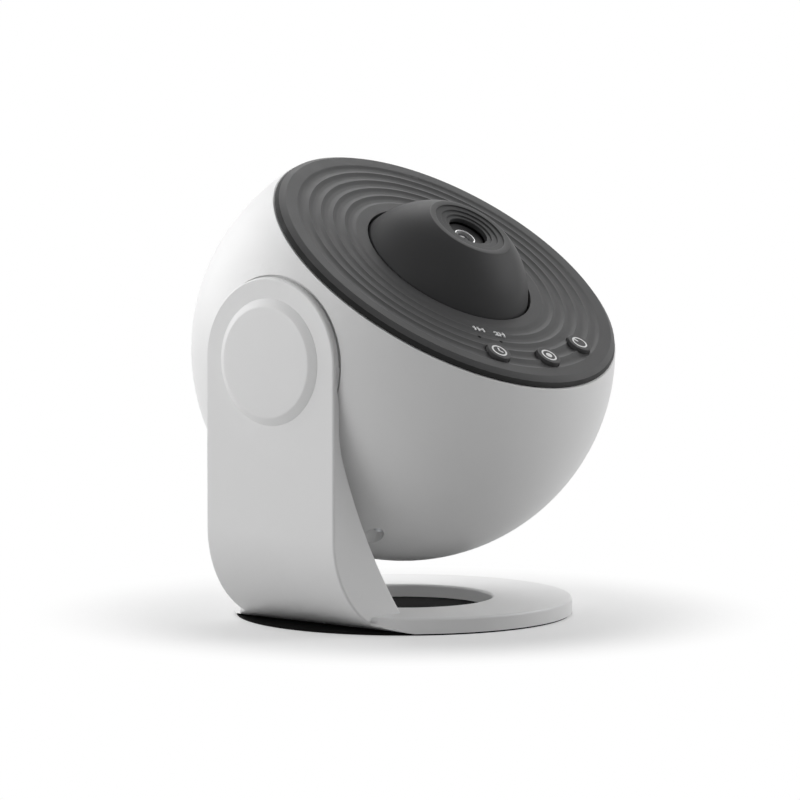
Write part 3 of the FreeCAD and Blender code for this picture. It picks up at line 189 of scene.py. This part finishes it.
class Made:
    """A shader node just made; its outputs are read by name or number."""

    def __init__(self, finish, node):
        self.finish = finish
        self.node = node

    def __getitem__(self, key):
        return Signal(self.finish, self.node.outputs[key])


class Finish:
    """One procedural material. Lengths given to its methods are millimetres."""

    def __init__(self, name, **shader):
        self.name = name
        self.material = bpy.data.materials.new(name)
        self.material.use_nodes = True
        self.tree = self.material.node_tree
        self.tree.nodes.clear()
        self.place = self.node("ShaderNodeTexCoord")["Object"]
        self.shader = self.node("ShaderNodeBsdfPrincipled", {}, shader)
        self.out = self.node("ShaderNodeOutputMaterial", {}, {"Surface": self.shader["BSDF"]})

    def node(self, kind, settings=None, sockets=None):
        """Make a node; its sockets take a signal, a colour or a number."""
        made = self.tree.nodes.new(kind)
        for key, setting in (settings or {}).items():
            setattr(made, key, setting)
        for key, given in (sockets or {}).items():
            target = made.inputs[key]
            if isinstance(given, Signal):
                self.tree.links.new(given.socket, target)
            elif isinstance(given, tuple) and target.type == "RGBA":
                target.default_value = (*given, 1.0)
            else:
                target.default_value = given
        return Made(self, made)

    def feed(self, **signals):
        """Link signals to the shader's sockets, named with _ for a space."""
        for key, signal in signals.items():
            self.tree.links.new(signal.socket, self.shader.node.inputs[key.replace("_", " ")])

    def vector(self, operation, first, second=None):
        """Vector arithmetic; its number is at Value and its vector at Vector."""
        sockets = {0: first} if second is None else {0: first, 1: second}
        return self.node("ShaderNodeVectorMath", {"operation": operation}, sockets)

    def noise(self, size, detail=2.0, roughness=0.5, stretch=None):
        where = self.place
        if stretch:
            where = self.node("ShaderNodeMapping", {}, {"Vector": where, "Scale": stretch})[0]
        return self.node("ShaderNodeTexNoise", {}, {
            "Vector": where, "Scale": 1.0 / (size * MM), "Detail": detail,
            "Roughness": roughness})["Fac"]

    def cells(self, size, feature="F1"):
        return self.node("ShaderNodeTexVoronoi", {"feature": feature}, {
            "Vector": self.place, "Scale": 1.0 / (size * MM)})["Distance"]

    def mix(self, factor, first, second):
        return self.node("ShaderNodeMix", {"data_type": "RGBA"}, {
            0: factor, 6: first, 7: second})[2]

    def ramp(self, factor, *stops):
        """Colour ramp through stops, each a position and a colour."""
        made = self.node("ShaderNodeValToRGB", {}, {"Fac": factor})
        elements = made.node.color_ramp.elements
        while len(elements) < len(stops):
            elements.new(0.5)
        for element, (where, colour) in zip(elements, stops):
            element.position = where
            element.color = (*colour, 1.0)
        return made["Color"]

    def bump(self, height, depth):
        return self.node("ShaderNodeBump", {}, {
            "Height": height, "Distance": depth * MM, "Strength": 1.0})["Normal"]


# -------------------------------------------------------------------------- finishes
def grained(finish, grain):
    """Slow noise, fine spark-eroded grain, and the tone that both make."""
    slow = finish.noise(SLOW_GRAIN, detail=3.0)
    fine = finish.noise(grain, detail=3.0, roughness=0.6)
    return slow, fine, (slow * 0.7 + fine * 0.3).clamped()


def moulded(name, tones, roughness, grain, depth, band=None, **shader):
    """Moulded plastic or rubber; band picks where it gets near-black painted shade."""
    finish = Finish(name, **shader)
    slow, fine, tone = grained(finish, grain)
    wear = finish.noise(WEAR_GRAIN)
    colour = finish.mix(tone, *tones)
    if band:
        # painted shade: the picked band is mixed to near-black tones
        colour = finish.mix(band(finish), colour, finish.mix(tone, *SHADE_BAND_TONES))
    finish.feed(Base_Color=colour,
                Roughness=roughness + (wear - 0.5) * 0.10 + (fine - 0.5) * 0.08,
                Normal=finish.bump(fine, depth))
    return finish


def painted_shade_on_lower_band(finish):
    """One on the steep lower band of the panel's bevel, which gets painted shade, zero elsewhere.
    """
    from_centre = finish.vector("SUBTRACT", finish.place, BALL.translation)["Vector"]
    across = finish.vector("CROSS_PRODUCT", from_centre, BALL_AXIS)["Vector"]
    return finish.vector("LENGTH", across)["Value"] > STEP_RADIUS * MM


def dome_with_painted_shade():
    """Dark satin plastic whose flat crown has the panel's tone and whose side is painted darker
    as painted shade.
    """
    finish = Finish("dome_plastic", **{"Specular IOR Level": 0.10})
    along = finish.vector("DOT_PRODUCT", finish.place, BALL_AXIS)["Value"]
    crown = (along - BALL.translation.dot(BALL_AXIS)) > CROWN_START * MM
    slow, fine, tone = grained(finish, 0.18)
    # painted shade: the side is darker than the crown, though both are one plastic
    side = finish.mix(tone, *DOME_SIDE_SHADE_TONES)
    finish.feed(Base_Color=finish.mix(crown, side, finish.mix(tone, *PANEL_TONES)),
                Roughness=0.46 + (slow - 0.5) * 0.10 + (fine - 0.5) * 0.08,
                Normal=finish.bump(fine, 0.006))
    return finish


def machined(name, colour, roughness, lines, depth):
    """Metal with fine tool lines and a little tarnish."""
    finish = Finish(name, Metallic=1.0)
    tool = finish.noise(lines, roughness=0.6, stretch=(1.0, 1.0, 9.0))
    tarnish = finish.noise(5.0, detail=4.0, roughness=0.6)
    dull = tuple(channel * 0.72 for channel in colour)
    finish.feed(Base_Color=finish.mix((tarnish * 1.6 - 0.5).clamped(), colour, dull),
                Roughness=roughness + (tarnish - 0.5) * 0.20 + (tool - 0.5) * 0.12,
                Normal=finish.bump(tool, depth))
    return finish


def cast_weight():
    """Cast steel with a rough skin, part of it scale and part bare."""
    finish = Finish("cast_weight")
    pits = finish.noise(1.4, detail=4.0, roughness=0.65)
    scale = finish.noise(9.0, detail=3.0)
    finish.feed(Base_Color=finish.ramp(scale, (0.3, (0.045, 0.047, 0.050)),
                                       (0.7, (0.085, 0.084, 0.082))),
                Metallic=(scale * 0.8).clamped(), Roughness=0.55 + (pits - 0.5) * 0.3,
                Normal=finish.bump(pits, 0.08))
    return finish


def optic():
    """Clear lens plastic."""
    finish = Finish("optic", **{"Transmission Weight": 1.0, "IOR": 1.52})
    tint = finish.mix(finish.noise(3.0), (0.96, 0.98, 0.99), (0.92, 0.96, 0.98))
    finish.feed(Base_Color=tint, Roughness=0.015 + finish.noise(1.5) * 0.02,
                Normal=finish.bump(finish.noise(2.5), 0.0005))
    return finish


def lens_painted_shade():
    """Front lens as an opaque near-black face under a clear coat: painted shade for the dark
    inside seen through the lens.
    """
    finish = Finish("lens_painted_shade", **{"Specular IOR Level": 0.25, "Coat Weight": 0.35,
                                       "Coat Roughness": 0.02})
    bloom = finish.noise(2.5)
    finish.feed(Base_Color=finish.mix(bloom, (0.006, 0.007, 0.010), (0.010, 0.009, 0.014)),
                Roughness=0.04 + bloom * 0.03, Normal=finish.bump(bloom, 0.001))
    return finish


def star_film():
    """Night sky of haze with large and small stars."""
    finish = Finish("film", **{"Coat Weight": 0.3})
    haze = finish.noise(9.0, detail=5.0, roughness=0.6)
    sparks = finish.cells(0.9) < 0.11
    specks = (finish.cells(0.4) < 0.07) * 0.6
    sky = finish.ramp(haze, (0.35, (0.004, 0.005, 0.014)), (0.60, (0.020, 0.030, 0.075)),
                      (0.80, (0.075, 0.050, 0.110)))
    finish.feed(Base_Color=finish.mix((sparks + specks).clamped(), sky, (0.85, 0.88, 0.95)),
                Roughness=0.10 + haze * 0.06, Normal=finish.bump(haze, 0.002))
    return finish


def board_green():
    """Circuit board whose tracks follow the edges of cells."""
    finish = Finish("board_green")
    tracks = (finish.cells(1.6, "F2") - finish.cells(1.6)) < 0.16
    finish.feed(Base_Color=finish.mix(tracks, (0.010, 0.085, 0.035), (0.022, 0.150, 0.060)),
                Roughness=0.30 + finish.noise(2.0) * 0.12, Normal=finish.bump(tracks, 0.03))
    return finish


def light_pipe():
    """Milky light pipe."""
    finish = Finish("light_pipe", **{"Subsurface Weight": 0.3,
                                     "Subsurface Radius": (0.001, 0.001, 0.001)})
    milk = finish.mix(finish.noise(0.8), (0.55, 0.56, 0.57), (0.42, 0.43, 0.44))
    finish.feed(Base_Color=milk, Roughness=0.25 + finish.noise(0.4) * 0.1,
                Normal=finish.bump(finish.noise(0.3), 0.004))
    return finish


def lamp_yellow():
    """Phosphor over the lamp's chip."""
    finish = Finish("lamp_yellow", **{"Coat Weight": 0.6})
    phosphor = finish.mix(finish.noise(0.5), (0.82, 0.62, 0.08), (0.74, 0.50, 0.05))
    grain = finish.noise(0.3)
    finish.feed(Base_Color=phosphor, Roughness=0.28 + grain * 0.1,
                Normal=finish.bump(grain, 0.004))
    return finish


def legend_white():
    """White ink of the marks and figures."""
    finish = Finish("legend_white")
    ink = finish.noise(0.25, detail=3.0)
    finish.feed(Base_Color=finish.mix(ink, (0.92, 0.92, 0.92), (0.84, 0.84, 0.84)),
                Roughness=0.50 + ink * 0.1, Normal=finish.bump(ink, 0.004))
    return finish


finishes = {finish.name: finish for finish in (
    moulded("white_plastic", WHITE_TONES, roughness=0.42, grain=0.25, depth=0.006),
    moulded("panel_plastic", PANEL_TONES, roughness=0.50, grain=0.20, depth=0.010,
            band=painted_shade_on_lower_band, **{"Specular IOR Level": 0.12}),
    dome_with_painted_shade(),
    moulded("inner_plastic", INNER_TONES, roughness=0.50, grain=0.30, depth=0.010,
            **{"Specular IOR Level": 0.15}),
    moulded("gear_plastic", GEAR_TONES, roughness=0.38, grain=0.40, depth=0.004),
    moulded("pad_rubber", RUBBER_TONES, roughness=0.85, grain=0.50, depth=0.030,
            **{"Specular IOR Level": 0.04}),
    machined("steel", (0.62, 0.63, 0.65), roughness=0.30, lines=0.35, depth=0.004),
    machined("sink_metal", (0.78, 0.79, 0.80), roughness=0.36, lines=0.60, depth=0.008),
    machined("bright_ring", (0.94, 0.94, 0.94), roughness=0.42, lines=0.30, depth=0.001),
    machined("bronze", (0.62, 0.42, 0.22), roughness=0.34, lines=0.40, depth=0.004),
    cast_weight(), optic(), lens_painted_shade(), star_film(), board_green(), light_pipe(),
    lamp_yellow(), legend_white())}

slot_of = {part["node"]: part["material_slot"] for part in frame["record"]["subparts"]}
for name, thing in nodes.items():
    # painted shade: the front lens gets an opaque near-black face that stands for the dark inside
    # behind it
    finish = "lens_painted_shade" if name == "front_lens" else slot_of[name]
    thing.data.materials.clear()
    thing.data.materials.append(finishes[finish].material)


# ------------------------------------------------------------------ shapes in bmesh
def finished(bm, name, body, slot, place, local=Matrix.Identity(4), finish=None,
             recalculate=True):
    """Turn a bmesh made in millimetres into a piece that rides on a body."""
    bmesh.ops.remove_doubles(bm, verts=bm.verts, dist=MERGE)
    if recalculate:
        bmesh.ops.recalc_face_normals(bm, faces=bm.faces)
    bmesh.ops.transform(bm, matrix=place @ Matrix.Scale(MM, 4) @ local, verts=bm.verts)
    mesh = bpy.data.meshes.new(name)
    bm.to_mesh(mesh)
    bm.free()
    mesh.materials.append(finishes[finish or slot].material)
    thing = bpy.data.objects.new(name, mesh)
    bpy.context.scene.collection.objects.link(thing)
    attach(thing, body)
    return thing


def smooth(thing, crease=35.0):
    """Smooth shading with edges sharper than the crease angle left crisp."""
    for face in thing.data.polygons:
        face.use_smooth = True
    thing.data.set_sharp_from_angle(angle=math.radians(crease))


class Section:
    """Half section of a turned piece, drawn outward from the axis in the XZ plane."""

    SAME_SPOT = 1e-5

    def __init__(self, radius, height):
        self.bm = bmesh.new()
        self.tip = self.bm.verts.new((radius, 0, height))
        self.start = self.tip
        self.rounds = []

    def line(self, radius, height, rounding=0.0):
        spot = self.bm.verts.new((radius, 0, height))
        self.bm.edges.new((self.tip, spot))
        self.tip = spot
        if rounding:
            self.round_tip(rounding)
        return self

    def round_tip(self, rounding):
        self.rounds.append((self.tip.co.copy(), rounding))

    def arc(self, centre_height, turn, steps):
        """Go on round a centre on the axis; turn is in degrees, positive from +Z to +X."""
        made = bmesh.ops.spin(self.bm, geom=[self.tip], cent=(0, 0, centre_height),
                              axis=(0, 1, 0), angle=math.radians(turn), steps=steps)
        self.tip = made["geom_last"][0]

    def close(self):
        self.bm.edges.new((self.tip, self.start))

    def turned(self, steps):
        bm = self.bm
        for spot, rounding in self.rounds:
            corner = [vert for vert in bm.verts if (vert.co - spot).length < self.SAME_SPOT]
            bmesh.ops.bevel(bm, geom=corner, offset=rounding, offset_type="OFFSET",
                            segments=4, profile=0.5, affect="VERTICES", material=-1)
        bmesh.ops.spin(bm, geom=bm.verts[:] + bm.edges[:], cent=(0, 0, 0), axis=(0, 0, 1),
                       angle=2 * math.pi, steps=steps, use_merge=True)
        bmesh.ops.remove_doubles(bm, verts=bm.verts, dist=MERGE)
        return bm


def cap_piece():
    """Round cap over the tilt pivot, with a conical edge."""
    base, lip, top, rise = 21.9, 0.15, 19.15, 2.0
    hollow, ceiling = 17.0, 1.0
    section = Section(0, ceiling).line(hollow, ceiling).line(hollow, 0.0).line(base, 0.0)
    section.line(base, lip, rounding=0.1).line(top, rise, rounding=0.45).line(0, rise)
    piece = finished(section.turned(BIG_TURN), "cap_dressed", "stand", "white_plastic", PIVOT)
    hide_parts("pivot_cap")
    smooth(piece)


def dome_piece():
    """Focusing dome with the stepped well round its lens."""
    centre, outer, inner = 24.1, 33.4, 31.8
    bottom, lip_top, curve_foot, ceiling = 28.8, 33.0, 34.0, 50.586
    bore, skirt, flat, hole = 28.29, 31.35, 15.5, 7.3
    steps, fall = (13.2, 10.9, 8.8), 0.5
    section = Section(bore, bottom).line(skirt, bottom, rounding=0.3)
    start = math.atan2(skirt, math.sqrt(outer ** 2 - skirt ** 2))
    end = math.asin(flat / outer)
    section.line(skirt, centre + outer * math.cos(start))
    section.arc(centre, -math.degrees(start - end), steps=40)
    section.round_tip(0.3)
    height = section.tip.co.z
    for step in steps:
        section.line(step, height, rounding=0.25)
        height -= fall
        section.line(step, height, rounding=0.12)
    section.line(hole, height, rounding=0.25).line(hole, ceiling)
    crown = math.acos((ceiling - centre) / inner)
    foot = math.acos((curve_foot - centre) / inner)
    section.line(inner * math.sin(crown), ceiling)
    section.arc(centre, math.degrees(foot - crown), steps=24)
    section.line(inner * math.sin(foot), lip_top).line(bore, lip_top)
    section.close()
    piece = finished(section.turned(BIG_TURN), "dome_dressed", "focus_dome", "dome_plastic", BALL)
    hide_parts("focus_dome")
    smooth(piece)


# -------------------------------------------------------------------- buttons and marks
def on_button(angle):
    """Place of a button's own frame in the ball frame: its Y points to the dome."""
    return Matrix.Rotation(math.radians(angle), 4, "Z") @ Matrix.Translation(
        (0, -BUTTON_CIRCLE, 0))


def button_piece(name, angle):
    """Push button with a softly rounded edge and a shallow dished face."""
    plunger, plunger_end = 1.5, 32.9
    flange, flange_under, flange_top = 5.4, 33.3, 34.7
    head, head_top = 4.5, 38.3
    dish, dish_middle = 3.9, 38.25
    section = Section(0, plunger_end).line(plunger, plunger_end).line(plunger, flange_under)
    section.line(flange, flange_under).line(flange, flange_top).line(head, flange_top)
    section.line(head, head_top, rounding=0.28).line(dish, head_top).line(0, dish_middle)
    piece = finished(section.turned(BUTTON_TURN), name + "_dressed", name, "panel_plastic",
                     BALL, on_button(angle))
    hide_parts(name)
    smooth(piece)


def mark_piece(name, angle, draw):
    """White mark printed on a button."""
    bm = bmesh.new()
    ring_plate(bm, *MARK_RING)
    draw(bm)
    finished(bm, name + "_mark", name, "light_pipe", BALL, on_button(angle),
             finish="legend_white")


def lift(bm, thick):
    """Give a flat outline its thickness, upwards."""
    made = bmesh.ops.extrude_face_region(bm, geom=bm.faces[:])
    top = [item for item in made["geom"] if isinstance(item, bmesh.types.BMVert)]
    bmesh.ops.translate(bm, verts=top, vec=(0, 0, thick))
    bmesh.ops.recalc_face_normals(bm, faces=bm.faces)


def print_on(bm, part, place=Matrix.Identity(4)):
    """Copy a finished plate into a mark at a place on the button's face, and free it."""
    bmesh.ops.transform(part, matrix=place @ Matrix.Translation((0, 0, MARK_HEIGHT)),
                        verts=part.verts)
    mesh = bpy.data.meshes.new("part")
    part.to_mesh(mesh)
    part.free()
    bm.from_mesh(mesh)
    bpy.data.meshes.remove(mesh)


def ring_plate(bm, outer, inner):
    """Thin flat ring round the middle of a button."""
    ring = bmesh.new()
    bmesh.ops.create_circle(ring, cap_ends=True, radius=outer, segments=RING_TURN)
    inset = bmesh.ops.inset_individual(ring, faces=ring.faces[:], thickness=outer - inner)
    bmesh.ops.delete(ring, geom=[f for f in ring.faces if f not in inset["faces"]],
                     context="FACES")
    lift(ring, INK)
    print_on(bm, ring)


def bar_plate(bm, width, length, out, turn=0.0):
    """Thin rounded bar that points outward at a turn, its middle at a distance out."""
    bar = bmesh.new()
    bmesh.ops.create_grid(bar, x_segments=1, y_segments=1, size=0.5)
    bmesh.ops.scale(bar, vec=(width, length, 1), verts=bar.verts)
    lift(bar, INK)
    upright = [e for e in bar.edges if abs(e.verts[0].co.z - e.verts[1].co.z) > INK / 2]
    bmesh.ops.bevel(bar, geom=upright, offset=width * BAR_ROUNDING, segments=4, profile=0.5,
                    affect="EDGES", material=-1)
    print_on(bm, bar, Matrix.Rotation(math.radians(turn), 4, "Z")
             @ Matrix.Translation((0, out, 0)))


def clock_hands(bm):
    bar_plate(bm, width=0.6, length=2.0, out=0.75)
    bar_plate(bm, width=0.6, length=1.8, out=0.65, turn=-120.0)


def brightness_dot(bm):
    ring_plate(bm, outer=1.2, inner=0.05)


def power_stroke(bm):
    bar_plate(bm, width=0.7, length=1.9, out=1.5)


# ------------------------------------------------------------------------ timer figures
def ripple_height(radius):
    """Height of the rippled face at a radius: each hollow is an arc as wide as its radius."""
    across = (radius - RIPPLE_INNER) % RIPPLE_PITCH - RIPPLE_PITCH / 2
    hollow = math.sqrt(RIPPLE_PITCH ** 2 - across ** 2) - RIPPLE_PITCH * math.sqrt(0.75)
    return PANEL_FACE - hollow


def flat_figures(name, words):
    """Bold figures as a flat outline of the label's size, its middle at the origin."""
    text = bpy.data.curves.new(name, "FONT")
    text.body = words
    text.offset = LABEL_BOLD
    source = bpy.data.objects.new(name + "_source", text)
    bpy.context.scene.collection.objects.link(source)
    bpy.context.view_layer.update()
    mesh = bpy.data.meshes.new_from_object(source)
    bpy.data.objects.remove(source)
    bm = bmesh.new()
    bm.from_mesh(mesh)
    bpy.data.meshes.remove(mesh)
    bmesh.ops.remove_doubles(bm, verts=bm.verts, dist=MERGE)
    low = Vector((min(v.co.x for v in bm.verts), min(v.co.y for v in bm.verts), 0))
    high = Vector((max(v.co.x for v in bm.verts), max(v.co.y for v in bm.verts), 0))
    size = high - low
    bmesh.ops.translate(bm, verts=bm.verts, vec=-(low + high) / 2)
    bmesh.ops.scale(bm, verts=bm.verts, vec=(LABEL_WIDTH / size.x, LABEL_HEIGHT / size.y, 1))
    return bm


def timer_label(name, words, x, y, turn):
    """White figures moulded over the ripples; their upper face dips less than the panel."""
    bm = flat_figures(name, words)
    for row in range(1, LABEL_ROWS):
        bmesh.ops.bisect_plane(bm, geom=bm.verts[:] + bm.edges[:] + bm.faces[:],
                               plane_co=(0, LABEL_HEIGHT * (row / LABEL_ROWS - 0.5), 0),
                               plane_no=(0, 1, 0), dist=ON_PLANE)
    bmesh.ops.triangulate(bm, faces=bm.faces[:])
    thick = 1.0
    lift(bm, thick)
    bmesh.ops.transform(bm, verts=bm.verts, matrix=Matrix.Translation((x, y, 0))
                        @ Matrix.Rotation(math.radians(turn), 4, "Z"))
    for vert in bm.verts:
        height = ripple_height(vert.co.xy.length)
        if vert.co.z > thick / 2:
            vert.co.z = PANEL_FACE - (PANEL_FACE - height) * LABEL_DIP + LABEL_RISE
        else:
            vert.co.z = height - LABEL_SINK
    finished(bm, name, "ball", "light_pipe", BALL, finish="legend_white")


# ------------------------------------------------------------- eased copies of CAD nodes
def everywhere(spot):
    return True


def eased_copy(node, name, body, cuts, flats=everywhere, crease=30.0, shaped=None):
    """Copy of a CAD node with chosen outer edges eased; a cut is chosen, width, segments.

    Faces in one plane become one face where flats allows it, and shaped changes the copy
    before the cuts.
    """
    bm = bmesh.new()
    bm.from_mesh(nodes[node].data)
    bmesh.ops.remove_doubles(bm, verts=bm.verts, dist=WELD * MM)
    even = [vert for vert in bm.verts if flats(vert.co / MM)]
    inside = set(even)
    bmesh.ops.dissolve_limit(
        bm, angle_limit=FLAT_ANGLE, use_dissolve_boundaries=False, verts=even,
        edges=[edge for edge in bm.edges if inside.issuperset(edge.verts)])
    if shaped:
        shaped(bm)
    for chosen, width, segments in cuts:
        sharp = [edge for edge in bm.edges if edge.is_manifold and edge.is_convex
                 and edge.calc_face_angle(0.0) > SHARP_ANGLE
                 and all(chosen(vert.co / MM) for vert in edge.verts)]
        bmesh.ops.bevel(bm, geom=sharp, offset=width * MM, offset_type="OFFSET",
                        segments=segments, profile=0.5, affect="EDGES", clamp_overlap=False,
                        material=-1)
    bmesh.ops.transform(bm, matrix=Matrix.Scale(1 / MM, 4), verts=bm.verts)
    piece = finished(bm, name, body, slot_of[node], Matrix.Identity(4), recalculate=False)
    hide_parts(node)
    smooth(piece, crease)
    weighted = piece.modifiers.new("even_shade", "WEIGHTED_NORMAL")
    weighted.keep_sharp = True


def in_ball(spot):
    """The same spot in the ball's own frame, in millimetres."""
    return BALL.inverted() @ (spot * MM) / MM


def near(value, target):
    return abs(value - target) < NEAR


def on_stand_edge(spot):
    """Outer edges of the arm and of the foot's upper face."""
    out = math.hypot(spot.x, spot.y)
    beside = ARM_HALF - NEAR
    side = abs(spot.y) > beside and spot.z > ARM_EASE_START and spot.x < 0
    head = math.hypot(spot.y, spot.z - AXIS_HEIGHT) > beside and spot.z > AXIS_HEIGHT
    rim = near(spot.z, FOOT_TOP) and (near(out, FOOT_RADIUS) or near(out, FOOT_HOLE))
    return side or head or rim


def on_rim_plane(spot):
    return near(in_ball(spot).z, RIM_HEIGHT)


def on_ball_rim(spot):
    return on_rim_plane(spot) and in_ball(spot).xy.length > EDGE_START


def on_panel_foot(spot):
    local = in_ball(spot)
    return near(local.z, PANEL_FOOT) and local.xy.length > EDGE_START


def on_panel_face(spot):
    """Crests, the edge of the bevel, and the mouths of the openings."""
    return near(in_ball(spot).z, PANEL_FACE)


def on_bevel(face):
    """Whether a face of the panel is part of its sloping bevel."""
    slopes = abs(face.normal.dot(BALL_AXIS)) < SLOPE_COSINE
    spots = [in_ball(vert.co / MM) for vert in face.verts]
    return slopes and all(
        spot.xy.length > BEVEL_START and spot.z > PANEL_FOOT - NEAR for spot in spots)


def step_the_bevel(bm):
    """Break the panel's bevel into a gentle upper band and a steep lower one."""
    bevel = [face for face in bm.faces if on_bevel(face)]
    corners = list({vert for face in bevel for vert in face.verts})
    edges = list({edge for face in bevel for edge in face.edges})
    cut = bmesh.ops.bisect_plane(bm, geom=corners + edges + bevel, plane_no=BALL_AXIS,
                                 plane_co=BALL @ Vector((0, 0, BEVEL_CUT * MM)),
                                 dist=ON_PLANE * MM)
    for item in cut["geom_cut"]:
        if isinstance(item, bmesh.types.BMVert):
            around = in_ball(item.co / MM).xy.normalized() * STEP_RADIUS
            item.co = BALL @ (Vector((around.x, around.y, STEP_HEIGHT)) * MM)


# --------------------------------------------------------------------------- the pieces
eased_copy("stand_shell", "stand_dressed", "stand", [(on_stand_edge, 0.9, 4)])
eased_copy("ball_shell", "ball_dressed", "ball", [(on_ball_rim, 0.15, 2)],
           flats=on_rim_plane, crease=12.0)
eased_copy("front_panel", "panel_dressed", "ball",
           [(on_panel_foot, 0.5, 1), (on_panel_face, 0.12, 2)], crease=20.0,
           shaped=step_the_bevel)
cap_piece()
dome_piece()
for name, angle, draw in (("button_timer", -BUTTON_SPREAD, clock_hands),
                          ("button_brightness", 0.0, brightness_dot),
                          ("button_power", BUTTON_SPREAD, power_stroke)):
    button_piece(name, angle)
    mark_piece(name, angle, draw)
timer_label("label_1h", "1H", x=-19.15, y=-35.05, turn=-27.0)
timer_label("label_2h", "2H", x=-11.7, y=-38.65, turn=-21.0)


# --------------------------------------------------------------- floor, light, camera
def floor_paper():
    """Paper that holds the shadow near the object and fades to plain white."""
    paper = Finish("floor_paper", Roughness=0.9)
    path = paper.node("ShaderNodeLightPath")
    paper.feed(Base_Color=paper.mix(path["Is Camera Ray"], FLOOR_BOUNCE, FLOOR_TONE))
    seen = (path["Is Camera Ray"] + path["Is Glossy Ray"] + path["Is Transmission Ray"]).clamped()
    glow = paper.node("ShaderNodeEmission", {}, {"Color": WHITE, "Strength": seen * FLOOR_LIFT})
    lit = paper.node("ShaderNodeAddShader", {}, {0: paper.shader["BSDF"], 1: glow[0]})
    plain = paper.node("ShaderNodeEmission", {}, {"Color": WHITE, "Strength": seen})
    away = paper.vector("LENGTH", paper.place)["Value"]
    fade = paper.node("ShaderNodeMapRange", {"interpolation_type": "SMOOTHSTEP"}, {
        "Value": away, "From Min": FLOOR_FADE[0], "From Max": FLOOR_FADE[1]})["Result"]
    mixed = paper.node("ShaderNodeMixShader", {}, {0: fade * seen, 1: lit[0], 2: plain[0]})
    paper.tree.links.new(mixed[0].socket, paper.out.node.inputs["Surface"])
    return paper


def make_floor():
    bm = bmesh.new()
    bmesh.ops.create_grid(bm, x_segments=1, y_segments=1, size=FLOOR_HALF)
    mesh = bpy.data.meshes.new("floor")
    bm.to_mesh(mesh)
    bm.free()
    mesh.materials.append(floor_paper().material)
    floor = bpy.data.objects.new("floor", mesh)
    floor.location = (0, 0, -FLOOR_DROP)
    bpy.context.scene.collection.objects.link(floor)


def make_light(name, direction, distance, level):
    """Soft box aimed at the ball; level is the brightness that it gives a white face."""
    across, up, back = direction
    towards = (RIGHT * across + UP * up + BACK * back).normalized()
    data = bpy.data.lights.new(name, "AREA")
    data.shape = "DISK"
    data.size = LIGHT_SIZE
    data.energy = level * math.pi ** 2 * distance ** 2
    lamp = bpy.data.objects.new(name, data)
    lamp.location = CENTRE + towards * distance
    lamp.rotation_mode = "QUATERNION"
    lamp.rotation_quaternion = towards.to_track_quat("Z", "Y")
    bpy.context.scene.collection.objects.link(lamp)


def make_world():
    """White to the eye and in reflections, a faint fill for everything else."""
    world = bpy.data.worlds.new("studio")
    world.use_nodes = True
    tree = world.node_tree
    tree.nodes.clear()
    path = tree.nodes.new("ShaderNodeLightPath")
    seen = path.outputs["Is Camera Ray"]
    for ray in ("Is Glossy Ray", "Is Transmission Ray"):
        either = tree.nodes.new("ShaderNodeMath")
        either.operation = "MAXIMUM"
        tree.links.new(seen, either.inputs[0])
        tree.links.new(path.outputs[ray], either.inputs[1])
        seen = either.outputs[0]
    level = tree.nodes.new("ShaderNodeMapRange")
    level.inputs["To Min"].default_value = AMBIENT
    level.inputs["To Max"].default_value = 1.0
    tree.links.new(seen, level.inputs["Value"])
    shade = tree.nodes.new("ShaderNodeBackground")
    shade.inputs["Color"].default_value = (*WHITE, 1.0)
    tree.links.new(level.outputs[0], shade.inputs["Strength"])
    out = tree.nodes.new("ShaderNodeOutputWorld")
    tree.links.new(shade.outputs[0], out.inputs["Surface"])
    bpy.context.scene.world = world


def make_camera():
    data = bpy.data.cameras.new("camera")
    data.lens = LENS_LENGTH
    data.sensor_width = SENSOR_WIDTH
    data.clip_start, data.clip_end = CAMERA_CLIP
    camera = bpy.data.objects.new("camera", data)
    bpy.context.scene.collection.objects.link(camera)
    camera.rotation_mode = "QUATERNION"
    camera.location = CENTRE + BACK * CAMERA_DISTANCE - RIGHT * CAMERA_LEFT - UP * CAMERA_DOWN
    camera.rotation_quaternion = Matrix((RIGHT, UP, BACK)).transposed().to_quaternion()
    bpy.context.scene.camera = camera


make_floor()
for name, setting in LIGHTS.items():
    make_light(name, *setting)
make_world()
make_camera()
bpy.context.scene.view_settings.view_transform = "Standard"
